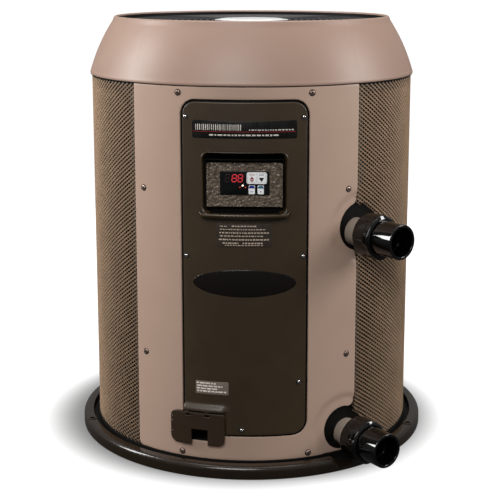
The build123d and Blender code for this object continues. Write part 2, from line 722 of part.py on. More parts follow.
nodes["conduit_cover"] = conduit_cover()
nodes["conduit_box"] = conduit_box()


# ---------------------------------------------------------------- electrical box and what is in it

BOX_X = (-110.0, 95.0)
BOX_Y = (-318.0, -248.0)
BOX_Z = (430.0, 770.0)
BOX_WALL = 1.5
BOX_BACK = BOX_Y[1] - BOX_WALL - GAP    # face that the parts inside are fixed to
CONTACTOR_X = (-95.0, -45.0)
CONTACTOR_Z = (450.0, 515.0)
CAPACITOR_X = 40.0
CAPACITOR_R = 22.0
CAPACITOR_Z = (455.0, 540.0)
TRANSFORMER_X = (-95.0, -35.0)
TRANSFORMER_Z = (560.0, 610.0)
TERMINALS_X = (-90.0, 60.0)
TERMINALS_Z = (680.0, 705.0)
TERMINAL_CELLS = 6


def electrical_box():
    outer = block(BOX_X, BOX_Y, BOX_Z)
    inner = block(
        (BOX_X[0] + BOX_WALL, BOX_X[1] - BOX_WALL),
        (BOX_Y[0] - 1, BOX_Y[1] - BOX_WALL),
        (BOX_Z[0] + BOX_WALL, BOX_Z[1] - BOX_WALL),
    )
    return outer - inner


def contactor():
    base = block(CONTACTOR_X, (BOX_BACK - 55, BOX_BACK), CONTACTOR_Z)
    left, right = CONTACTOR_X
    low, high = CONTACTOR_Z
    return base + block((left + 5, right - 5), (BOX_BACK - 62, BOX_BACK - 55), (low + 12, high - 12))


def capacitor():
    low, high = CAPACITOR_Z
    spot = (CAPACITOR_X, BOX_BACK - CAPACITOR_R - 2)
    return upright(spot, CAPACITOR_R, low, high) + upright(spot, 5, high, high + 8)


def transformer():
    """Laminated core with the winding standing out above and below it."""
    left, right = TRANSFORMER_X
    low, high = TRANSFORMER_Z
    core = block(TRANSFORMER_X, (BOX_BACK - 46, BOX_BACK), TRANSFORMER_Z)
    return core + block((left + 10, right - 10), (BOX_BACK - 50, BOX_BACK), (low - 8, high + 8))


def terminal_block():
    """Strip with a row of open cells for the wires."""
    left, right = TERMINALS_X
    low, high = TERMINALS_Z
    pitch = (right - left - 6) / TERMINAL_CELLS
    strip = block(TERMINALS_X, (BOX_BACK - 22, BOX_BACK), TERMINALS_Z)
    cells = []
    for i in range(TERMINAL_CELLS):
        start = left + 6 + pitch * i
        cells.append(block((start, start + pitch - 10), (BOX_BACK - 30, BOX_BACK - 12), (low + 4, high - 4)))
    return cut(strip, cells)


nodes["electrical_box"] = electrical_box()
nodes["contactor"] = contactor()
nodes["capacitor"] = capacitor()
nodes["transformer"] = transformer()
nodes["terminal_block"] = terminal_block()


# ---------------------------------------------------------------- evaporator coil

def evaporator_coil():
    """Finned coil in its outer shape, with the room between the fins taken out as one slot."""
    wall = 1.5
    coil = sector(COIL_IN_R, COIL_OUT_R, COIL_LOW, COIL_HIGH, COIL_START, 360 - COIL_START)
    edge = COIL_START + 0.3
    room = sector(COIL_IN_R + wall, COIL_OUT_R - wall, COIL_LOW - 1, COIL_HIGH + 1, edge, 360 - edge)
    return coil - room


def coil_bends():
    """Return bends standing out of the coil's left end."""
    bends = []
    middle = (COIL_IN_R + COIL_OUT_R) / 2
    end = -COIL_START
    for i in range(COIL_BENDS):
        z = FIRST_BEND_Z + i * BEND_STEP
        bend = Torus(BEND_R, BEND_TUBE_R, major_angle=180)
        place = facing(end, middle, z) * Pos((BEND_R + BEND_TUBE_R) / 2 + 0.1, 0, 0) * Rot(0, 0, -90)
        bends.append(place * bend)
    return bends


nodes["evaporator_coil"] = evaporator_coil()


# ---------------------------------------------------------------- heat exchanger and water side

SHELL_XY = (across(SHELL_ANGLE, SHELL_DISTANCE), -SHELL_DISTANCE * cos(radians(SHELL_ANGLE)))


def water_port(angle, z):
    """Pipe from the heat exchanger with the threaded half of the union on its end."""
    pipe = radial(angle, z, PIPE_R, SHELL_DISTANCE, NUT_START + 4)
    flange = radial(angle, z, THREAD_R, NUT_START + 4, NUT_START + 21)
    bore = radial(angle, z, PIPE_BORE_R, SHELL_DISTANCE - 60, NUT_START + 22)
    return pipe + flange - bore - upright(SHELL_XY, SHELL_R + 0.1, SHELL_LOW, SHELL_HIGH)


def seal(angle, z):
    """O-ring in the face of the threaded half."""
    return facing(angle, NUT_START + 20.3, z) * Torus(33.0, 1.6)


def union_nut(angle, z):
    stop = NUT_START + NUT_LENGTH
    nut = radial(angle, z, NUT_R, NUT_START, stop)
    for i in range(NUT_LUGS):
        turn = Rot(0, 0, i * 360 / NUT_LUGS)
        lug = Pos(NUT_R - 2, 0, 0) * Box(8, 9, NUT_LENGTH - 6)
        nut = nut + facing(angle, NUT_START + NUT_LENGTH / 2, z) * turn * lug
    nut = nut & radial(angle, z, NUT_LUG_R, NUT_START, stop)
    nut = nut - radial(angle, z, THREAD_R + GAP, NUT_START - 1, stop - NUT_WEB)
    return nut - radial(angle, z, TAIL_R + 0.5, NUT_START, stop + 1)


def tailpiece(angle, z):
    start = NUT_START + 22.2
    web = NUT_START + NUT_LENGTH - NUT_WEB
    tail = radial(angle, z, THREAD_R - GAP, start, web - 0.5)
    tail = tail + radial(angle, z, TAIL_R, web - 0.5, TAIL_END)
    tail = tail - radial(angle, z, PIPE_BORE_R, start - 1, TAIL_END - SOCKET_DEPTH + 1)
    return tail - radial(angle, z, SOCKET_R, TAIL_END - SOCKET_DEPTH, TAIL_END + 1)


def heat_exchanger():
    shell = upright(SHELL_XY, SHELL_R, SHELL_LOW, SHELL_HIGH)
    shell = shell - upright(SHELL_XY, SHELL_R - 5, SHELL_LOW + 8, SHELL_HIGH - 8)
    shell = cut(shell, ports(PIPE_BORE_R, SHELL_DISTANCE, 340))
    for z in (SHELL_LOW + 118, SHELL_HIGH - 120):
        band = upright(SHELL_XY, SHELL_R + 3, z, z + 14) - upright(SHELL_XY, SHELL_R - 1, z - 1, z + 15)
        shell = shell + band
    return shell


upper_seal = seal(UPPER_ANGLE, UPPER_Z)
lower_seal = seal(LOWER_ANGLE, LOWER_Z)
nodes["heat_exchanger"] = heat_exchanger()
nodes["water_port_upper"] = water_port(UPPER_ANGLE, UPPER_Z) - upper_seal
nodes["water_port_lower"] = water_port(LOWER_ANGLE, LOWER_Z) - lower_seal
nodes["union_nut_upper"] = union_nut(UPPER_ANGLE, UPPER_Z)
nodes["union_nut_lower"] = union_nut(LOWER_ANGLE, LOWER_Z)
nodes["tailpiece_upper"] = tailpiece(UPPER_ANGLE, UPPER_Z)
nodes["tailpiece_lower"] = tailpiece(LOWER_ANGLE, LOWER_Z)
nodes["union_seals"] = put([upper_seal, lower_seal])


# ---------------------------------------------------------------- refrigerant circuit

def compressor_bolts():
    x, y = COMPRESSOR_XY
    angles = [radians(angle) for angle in (60, 180, 300)]
    return [(x + BOLT_CIRCLE_R * cos(a), y + BOLT_CIRCLE_R * sin(a)) for a in angles]


def compressor():
    """Welded shell on a foot plate, hollow, with its terminal cover on the side."""
    x, y = COMPRESSOR_XY
    low, high = COMPRESSOR_LOW, COMPRESSOR_HIGH
    body = upright(COMPRESSOR_XY, COMPRESSOR_R, low + 20, high - 25)
    body = body + upright(COMPRESSOR_XY, COMPRESSOR_R - 12, low, high)
    foot = Pos(x, y, low + 3) * Cylinder(COMPRESSOR_R + 22, 6)
    cavity = upright(COMPRESSOR_XY, COMPRESSOR_R - 26, low - 1, high - 60)
    terminals = Pos(x + COMPRESSOR_R + 4, y, high - 110) * Box(24, 56, 60)
    body = body + foot + terminals - cavity
    for spot in compressor_bolts():
        body = body - upright(spot, BOLT_HOLE_R, low - 1, low + 7)
    return body


def compressor_feet():
    """Rubber grommets, each with the stud that comes up through the foot plate."""
    feet = []
    for spot in compressor_bolts():
        grommet = upright(spot, GROMMET_R, FLOOR_TOP + 0.1, COMPRESSOR_LOW - 0.1)
        feet.append(grommet + upright(spot, BOLT_HOLE_R - 0.2, COMPRESSOR_LOW - 0.1, COMPRESSOR_LOW + 14))
    return put(feet)


def accumulator():
    foot = FLOOR_TOP + 0.1
    vessel = upright(ACCUMULATOR_XY, 45, FLOOR_TOP + 30, 270) + upright(ACCUMULATOR_XY, 38, foot, 280)
    return vessel - upright(ACCUMULATOR_XY, 34, foot - 1, 265)


def drier_and_valve():
    drier = upright(DRIER_XY, 25, 210, 330) + upright(DRIER_XY, 10, 200, 340)
    link = upright(DRIER_XY, 5, 176, 200)
    valve = upright(DRIER_XY, 14, 150, 176)
    head = Pos(DRIER_XY[0] + 22, DRIER_XY[1], 163) * Rot(0, 90, 0) * Cylinder(9, 18)
    return drier + link + valve + head


def copper_lines():
    cx, cy = COMPRESSOR_XY
    ax, ay = ACCUMULATOR_XY
    dx, dy = DRIER_XY
    sx, sy = SHELL_XY
    start = (cx, cy + 20)
    discharge = ((*start, COMPRESSOR_HIGH + 0.1), (*start, 600), (sx, sy, 600), (sx, sy, SHELL_HIGH + 0.1))
    liquid = ((sx - 38, sy + 18, SHELL_HIGH + 0.1), (sx - 38, sy + 18, 582), (dx, dy, 582), (dx, dy, 340.1))
    expansion = ((dx, dy, 149.9), (dx, dy, 110), (dx, 314.5, 110))
    suction = ((ax, 313, 340), (ax, ay, 340), (ax, ay, 280.1))
    intake = ((ax - 25, ay - 15, 280.1), (ax - 25, ay - 15, 312), (cx + 23.1, cy + 79.4, 312))
    return put([
        bent_tube(discharge, 18, 6.35),
        bent_tube(liquid, 14, 4.8),
        bent_tube(expansion, 25, 4.8),
        bent_tube(suction, 30, 9.5),
        bent_tube(intake, 20, 9.5),
    ])


nodes["compressor"] = compressor()
nodes["compressor_feet"] = compressor_feet()
nodes["accumulator"] = accumulator()
nodes["drier_and_valve"] = drier_and_valve()
nodes["copper_lines"] = copper_lines()
nodes["coil_bends"] = put(coil_bends())

for name, shape in nodes.items():
    export_step(shape, f"parts/{name}.step")
print(len(nodes), "nodes")
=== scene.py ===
import json
from math import atan2, ceil, cos, exp, pi, radians, sin, sqrt, tan

import bmesh
import bpy
from mathutils import Matrix, Vector

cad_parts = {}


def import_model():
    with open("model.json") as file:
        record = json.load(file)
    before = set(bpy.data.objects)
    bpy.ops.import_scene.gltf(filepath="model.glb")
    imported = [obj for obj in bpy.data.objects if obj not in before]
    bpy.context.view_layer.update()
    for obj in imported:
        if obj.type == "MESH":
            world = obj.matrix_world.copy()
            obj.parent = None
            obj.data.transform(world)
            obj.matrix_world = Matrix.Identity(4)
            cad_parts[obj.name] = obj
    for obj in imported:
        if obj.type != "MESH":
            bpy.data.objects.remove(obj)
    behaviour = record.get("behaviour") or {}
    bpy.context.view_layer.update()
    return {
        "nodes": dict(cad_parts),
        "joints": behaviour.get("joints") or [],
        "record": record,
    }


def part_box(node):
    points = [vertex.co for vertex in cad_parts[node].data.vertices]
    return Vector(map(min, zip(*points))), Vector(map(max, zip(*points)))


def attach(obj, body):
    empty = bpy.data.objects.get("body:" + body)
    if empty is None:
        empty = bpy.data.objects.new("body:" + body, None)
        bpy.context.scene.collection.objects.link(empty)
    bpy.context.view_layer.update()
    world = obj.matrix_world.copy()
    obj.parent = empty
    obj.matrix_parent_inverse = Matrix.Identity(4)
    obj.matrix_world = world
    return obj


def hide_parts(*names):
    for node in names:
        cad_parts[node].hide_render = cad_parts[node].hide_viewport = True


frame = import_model()
record = frame["record"]
scene = bpy.context.scene

# ---------------------------------------------------------------- sizes, metres
# Angles are in degrees round the drum, 0 at the front and positive to the right.

MM = 0.001
BASE_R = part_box("base_pan")[1].x
CAP_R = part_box("top_cap")[1].x
CAP_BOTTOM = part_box("top_cap")[0].z
CAP_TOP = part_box("top_cap")[1].z
SKIN_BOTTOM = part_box("front_panel")[0].z
SKIN_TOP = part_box("front_panel")[1].z
MESH_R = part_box("mesh_guard")[1].x
PANEL_R = MESH_R + 1.8 * MM
DOOR_R = PANEL_R + 3 * MM
PANEL_EDGE = 40.0
# Clear round each water port: angle, height and radius, the upper one first.
NOTCHES = ((41.2, 517 * MM, 51 * MM), (35.3, 79 * MM, 47 * MM))
# Places of the two pipes: angle and height.
OUTLET = (41.0, 504 * MM)
INLET = (37.5, 64 * MM)
PIPE_R = 30.15 * MM
DRUM_SEGMENTS = 480

MOUNTS = {mount["name"]: mount for mount in record["mounts"]}
JOINTS = {joint["name"]: joint for joint in frame["joints"]}


def in_mm(*rows):
    """The rows in metres, from millimetres."""
    return [tuple(value * MM for value in row) for row in rows]


# ---------------------------------------------------------------- outlines

def arc_at(angle, radius=PANEL_R):
    """Distance round the drum from the front to an angle."""
    return radius * radians(angle)


def signed_area(loop):
    return sum(a[0] * b[1] - b[0] * a[1] for a, b in zip(loop, loop[1:] + loop[:1])) / 2


def rounded(corners, fine=10):
    """Closed outline from (x, y, radius) corners, each turned into an arc."""
    points = []
    for i, (x, y, radius) in enumerate(corners):
        corner = Vector((x, y))
        if radius <= 0:
            points.append((x, y))
            continue
        before = (Vector(corners[i - 1][:2]) - corner).normalized()
        after = (Vector(corners[(i + 1) % len(corners)][:2]) - corner).normalized()
        half = before.angle(after) / 2
        centre = corner + (before + after).normalized() * (radius / sin(half))
        start = corner + before * (radius / tan(half)) - centre
        end = corner + after * (radius / tan(half)) - centre
        first = atan2(start.y, start.x)
        turn = (atan2(end.y, end.x) - first + pi) % (2 * pi) - pi
        steps = max(2, ceil(abs(turn) / radians(fine)))
        for k in range(steps + 1):
            angle = first + turn * k / steps
            points.append((centre.x + radius * cos(angle), centre.y + radius * sin(angle)))
    return points


def rectangle(left, right, low, high, radius):
    corners = ((left, low), (right, low), (right, high), (left, high))
    return rounded([(x, y, radius) for x, y in corners])


def arc(centre, radius, start, stop, fine=6):
    """Points of an arc from one direction to another, in degrees."""
    steps = max(2, ceil(abs(stop - start) / fine))
    turns = [radians(start + (stop - start) * k / steps) for k in range(steps + 1)]
    return [(centre[0] + radius * cos(t), centre[1] + radius * sin(t)) for t in turns]


def divided(loop, step):
    """The outline with no edge longer than step."""
    points = []
    for a, b in zip(loop, loop[1:] + loop[:1]):
        pieces = max(1, ceil(sqrt((b[0] - a[0]) ** 2 + (b[1] - a[1]) ** 2) / step))
        for k in range(pieces):
            points.append((a[0] + (b[0] - a[0]) * k / pieces, a[1] + (b[1] - a[1]) * k / pieces))
    return points


def matched(ring, count=160):
    """The outline as a fixed number of evenly spaced points, starting at its first."""
    lengths = [0.0]
    for a, b in zip(ring, ring[1:] + ring[:1]):
        lengths.append(lengths[-1] + (Vector(b) - Vector(a)).length)
    points = []
    edge = 0
    for k in range(count):
        target = lengths[-1] * k / count
        while lengths[edge + 1] < target:
            edge += 1
        a, b = Vector(ring[edge]), Vector(ring[(edge + 1) % len(ring)])
        share = (target - lengths[edge]) / max(1e-9, lengths[edge + 1] - lengths[edge])
        points.append(tuple(a.lerp(b, share)))
    return points


def tidy_loop(loop):
    """Counter-clockwise outline with no doubled points."""
    same = 0.05 * MM
    points = []
    for point in loop:
        if not points or (Vector(point) - Vector(points[-1])).length > same:
            points.append(point)
    if (Vector(points[0]) - Vector(points[-1])).length < same:
        points.pop()
    return points if signed_area(points) > 0 else points[::-1]


def inset(loop, distance):
    """Counter-clockwise outline moved inwards."""
    points = []
    for i, point in enumerate(loop):
        here = Vector(point)
        a = (here - Vector(loop[i - 1])).normalized()
        b = (Vector(loop[(i + 1) % len(loop)]) - here).normalized()
        left = Vector((-a.y, a.x)) + Vector((-b.y, b.x))
        left = left / max(0.35, 1 + a.dot(b))
        points.append((here.x + left.x * distance, here.y + left.y * distance))
    return points


# ---------------------------------------------------------------- mesh helpers

def on_drum(radius):
    """Carries flat (across, up, out) coordinates onto a cylinder."""
    def place(co):
        angle = co.x / radius
        reach = radius + co.z
        return Vector((reach * sin(angle), -reach * cos(angle), co.y))
    return place


def on_plane(y):
    """Carries flat (across, up, out) coordinates onto an upright plane facing the front."""
    def place(co):
        return Vector((co.x, y - co.z, co.y))
    return place


ON_DOOR = on_drum(DOOR_R)


def facing(angle, radius, z):
    """Matrix standing on the drum: its X runs right, its Y up and its Z straight out."""
    a = radians(angle)
    turn = Matrix(((cos(a), 0, sin(a)), (sin(a), 0, -cos(a)), (0, 1, 0))).to_4x4()
    return Matrix.Translation((radius * sin(a), -radius * cos(a), z)) @ turn


def smooth(value, low, high):
    """0 below low, 1 above high, and an S curve between."""
    share = min(1.0, max(0.0, (value - low) / (high - low)))
    return share * share * (3 - 2 * share)


def placed(name, data):
    """New object in the scene."""
    made = bpy.data.objects.new(name, data)
    scene.collection.objects.link(made)
    return made


def mesh_of(name, bm):
    mesh = bpy.data.meshes.new(name)
    bm.to_mesh(mesh)
    bm.free()
    return mesh


def finished(name, bm, slot, finishes, *replaced, sharp=34.0, body="heater"):
    """Piece from a bmesh with smooth faces and sharp creases, riding on a body. finishes are keys of MAT."""
    bmesh.ops.recalc_face_normals(bm, faces=bm.faces)
    for face in bm.faces:
        face.smooth = True
    for edge in bm.edges:
        if len(edge.link_faces) == 2 and edge.calc_face_angle(0) > radians(sharp):
            edge.smooth = False
    piece = placed(name, mesh_of(name, bm))
    for finish in [finishes] if isinstance(finishes, str) else finishes:
        piece.data.materials.append(MAT[finish])
    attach(piece, body)
    if replaced:
        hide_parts(*replaced)
    return piece


def join(bm, other, material=0):
    """Moves another bmesh's geometry into this one."""
    other.verts.ensure_lookup_table()
    copies = [bm.verts.new(vert.co) for vert in other.verts]
    for index, vert in enumerate(other.verts):
        vert.index = index
    for face in other.faces:
        new = bm.faces.new([copies[vert.index] for vert in face.verts])
        new.material_index = material
    other.free()


def add_plate(bm, outer, holes, thick, edge, place, step=6 * MM, rows=(), relief=None, base=0.0):
    """Adds a plate with rolled edges. The outline is flat, in (across, up); place carries it to its surface.

    step is the distance between the upright cuts that let the plate bend, rows are the heights of its level
    cuts, relief(across, up) says how far a point is pressed out, and base lifts the whole plate.
    """
    flat = bmesh.new()
    turns = [radians(t) for t in (0, 30, 60, 90)]
    levels = [(0.0, thick)] + [(edge * (1 - cos(t)), edge * (1 - sin(t))) for t in turns]
    front, back = [], []
    for loop, side in [(outer, 1)] + [(hole, -1) for hole in holes]:
        loop = tidy_loop(divided(tidy_loop(loop), 2 * step))
        rings = []
        for distance, depth in levels:
            rings.append([flat.verts.new((x, y, -depth)) for x, y in inset(loop, side * distance)])
        count = len(loop)
        for lower, upper in zip(rings, rings[1:]):
            for i in range(count):
                j = (i + 1) % count
                flat.faces.new((lower[i], lower[j], upper[j], upper[i]))
        back += [flat.edges.get((rings[0][i], rings[0][(i + 1) % count])) for i in range(count)]
        front += [flat.edges.get((rings[-1][i], rings[-1][(i + 1) % count])) for i in range(count)]
    for edges in (front, back):
        bmesh.ops.triangle_fill(flat, use_beauty=True, use_dissolve=False, edges=edges, normal=(0, 0, 1))
    xs = [vert.co.x for vert in flat.verts]
    columns = range(ceil(min(xs) / step), int(max(xs) / step) + 1)
    cuts = [((k * step, 0, 0), (1, 0, 0)) for k in columns]
    cuts += [((0, y, 0), (0, 1, 0)) for y in rows]
    for point, normal in cuts:
        everything = flat.verts[:] + flat.edges[:] + flat.faces[:]
        bmesh.ops.bisect_plane(flat, geom=everything, dist=0.02 * MM, plane_co=point, plane_no=normal)
    for vert in flat.verts:
        lift = relief(vert.co.x, vert.co.y) if relief else 0.0
        vert.co = place(Vector((vert.co.x, vert.co.y, vert.co.z + lift + base)))
    join(bm, flat)


def plate_piece(name, slot, finish, replaced, *plate, sharp=34.0, body="heater", **options):
    """Piece that is one plate. plate and options are add_plate's."""
    bm = bmesh.new()
    add_plate(bm, *plate, **options)
    return finished(name, bm, slot, finish, *replaced, sharp=sharp, body=body)


def add_lathe(bm, profile, segments, matrix=None, shape=None, material=0):
    """Adds a solid of revolution about Z from a closed (radius, height) outline."""
    rings = []
    for k in range(segments):
        turn = 2 * pi * k / segments
        ring = []
        for radius, height in profile:
            if shape:
                radius, height = shape(turn, radius, height)
            co = Vector((radius * cos(turn), radius * sin(turn), height))
            ring.append(bm.verts.new(matrix @ co if matrix else co))
        rings.append(ring)
    count = len(profile)
    for k in range(segments):
        a, b = rings[k], rings[(k + 1) % segments]
        for i in range(count):
            j = (i + 1) % count
            face = bm.faces.new((a[i], b[i], b[j], a[j]))
            face.material_index = material


def lathe_piece(name, slot, finish, replaced, *lathe, sharp=34.0, body="heater"):
    """Piece that is one turned solid. lathe is add_lathe's."""
    bm = bmesh.new()
    add_lathe(bm, *lathe)
    return finished(name, bm, slot, finish, *replaced, sharp=sharp, body=body)


def add_box(bm, size, matrix, bevel, material):
    """Adds a box with rounded edges."""
    box = bmesh.new()
    bmesh.ops.create_cube(box, size=1.0, matrix=matrix @ Matrix.Diagonal((*size, 1)))
    bmesh.ops.bevel(box, geom=box.edges[:], offset=bevel, segments=2, affect="EDGES", profile=0.5)
    join(bm, box, material)


def add_tube(bm, path, radius, sides):
    """Adds a round bar along a list of points, with closed ends."""
    rings = []
    for i, point in enumerate(path):
        ahead = path[min(i + 1, len(path) - 1)] - path[max(i - 1, 0)]
        turn = ahead.to_track_quat("Z", "Y").to_matrix()
        ring = []
        for k in range(sides):
            t = 2 * pi * k / sides
            ring.append(bm.verts.new(point + turn @ Vector((radius * cos(t), radius * sin(t), 0))))
        rings.append(ring)
    for a, b in zip(rings, rings[1:]):
        for k in range(sides):
            bm.faces.new((a[k], a[(k + 1) % sides], b[(k + 1) % sides], b[k]))
    for ring in (rings[0], rings[-1]):
        bm.faces.new(ring)


def loft(bm, loops, ends=False):
    """Skin over outlines that have the same number of points."""
    rings = [[bm.verts.new(point) for point in loop] for loop in loops]
    count = len(rings[0])
    for a, b in zip(rings, rings[1:]):
        for i in range(count):
            j = (i + 1) % count
            bm.faces.new((a[i], a[j], b[j], b[i]))
    if ends:
        for ring in (rings[0], rings[-1]):
            bm.faces.new(ring)
    return rings


def reach_of(node_name):
    """Largest distance from the drum's axis that a CAD node reaches."""
    return max(sqrt(v.co.x ** 2 + v.co.y ** 2) for v in frame["nodes"][node_name].data.vertices)


# ---------------------------------------------------------------- materials

def linear(red, green, blue):
    """Scene colour from the 0 to 255 values that a screen shows."""
    def one(value):
        value = value / 255
        return value / 12.92 if value <= 0.04045 else ((value + 0.055) / 1.055) ** 2.4
    return (one(red), one(green), one(blue), 1.0)


def shade(colour, by):
    return tuple(min(1.0, channel * by) for channel in colour[:3]) + (1.0,)


def node(tree, kind, **values):
    """New shader node with its sockets and properties set. Underscores stand for a socket's spaces."""
    made = tree.nodes.new("ShaderNode" + kind)
    for key, value in values.items():
        socket = key.replace("_", " ")
        if socket in made.inputs:
            made.inputs[socket].default_value = value
        else:
            setattr(made, key, value)
    return made


def link(tree, start, output, end, socket):
    tree.links.new(start.outputs[output], end.inputs[socket])


def textured(tree, kind, output, end, socket, **values):
    """Feeds a socket from a new texture that follows the object."""
    texture = node(tree, kind, **values)
    link(tree, node(tree, "TexCoord"), "Object", texture, "Vector")
    link(tree, texture, output, end, socket)


def bumped(material, strength, distance, kind, output, **values):
    """Adds bump from a new texture."""
    tree = material.node_tree
    bump = node(tree, "Bump", Strength=strength, Distance=distance)
    textured(tree, kind, output, bump, "Height", **values)
    link(tree, bump, "Normal", tree.nodes["Principled BSDF"], "Normal")
    return material


def surface(name, colour, rough, vary=0.08, rough_vary=0.06, grain=(0, 0), cloud=9.0, wear=0.0, **shader):
    """Procedural finish: clouded colour, uneven gloss and, if asked, paler edges that are a painted highlight,
    and fine grain.

    grain is the scale and strength of the grain, cloud the scale of the clouds.
    """
    material = bpy.data.materials.new(name)
    material.use_nodes = True
    tree = material.node_tree
    bsdf = tree.nodes["Principled BSDF"]
    for key, value in shader.items():
        bsdf.inputs[key.replace("_", " ")].default_value = value
    ramp = node(tree, "ValToRGB")
    dark, pale = ramp.color_ramp.elements
    dark.position, dark.color = 0.3, shade(colour, 1 - vary)
    pale.position, pale.color = 0.7, shade(colour, 1 + vary)
    textured(tree, "TexNoise", "Fac", ramp, "Fac", Scale=cloud, Detail=5.0, Roughness=0.6)
    if wear:
        # Convex edges are mixed towards a paler colour: a painted highlight where edges catch the light.
        edge = node(tree, "MapRange", From_Min=0.53, From_Max=0.62, To_Max=wear)
        link(tree, node(tree, "NewGeometry"), "Pointiness", edge, "Value")
        mix = node(tree, "Mix", data_type="RGBA", B=shade(colour, 1.9))
        link(tree, edge, "Result", mix, "Factor")
        link(tree, ramp, "Color", mix, "A")
        link(tree, mix, "Result", bsdf, "Base Color")
    else:
        link(tree, ramp, "Color", bsdf, "Base Color")
    gloss = node(tree, "MapRange", To_Min=max(0.02, rough - rough_vary), To_Max=rough + rough_vary)
    textured(tree, "TexNoise", "Fac", gloss, "Value", Scale=cloud * 4, Detail=3.0)
    link(tree, gloss, "Result", bsdf, "Roughness")
    scale, strength = grain
    if strength:
        bumped(material, strength, 0.0006, "TexNoise", "Fac", Scale=scale, Detail=2.0)
    return material


def hammered(name, colour, rough):
    """Hammer-finish paint: small round dimples and mottled tone."""
    paint = surface(name, colour, rough, vary=0.7, cloud=110.0)
    return bumped(paint, 1.0, 0.0026, "TexVoronoi", "Distance", feature="SMOOTH_F1", Scale=200.0)


def finned(name, colour, pitch):
    """Aluminium fins edge on: fine lines round the drum."""
    metal = surface(name, colour, 0.45, vary=0.2, cloud=14.0, Metallic=0.7)
    lines = {"bands_direction": "Z", "Scale": 1 / pitch / pi, "Distortion": 0.4}
    return bumped(metal, 0.9, 0.002, "TexWave", "Fac", **lines)


def glowing(name, colour, strength):
    """Lit plastic: clouded slightly, giving its own light."""
    material = surface(name, colour, 0.4, vary=0.05)
    bsdf = material.node_tree.nodes["Principled BSDF"]
    bsdf.inputs["Emission Color"].default_value = colour
    bsdf.inputs["Emission Strength"].default_value = strength
    return material


BRONZE = (54, 42, 26)
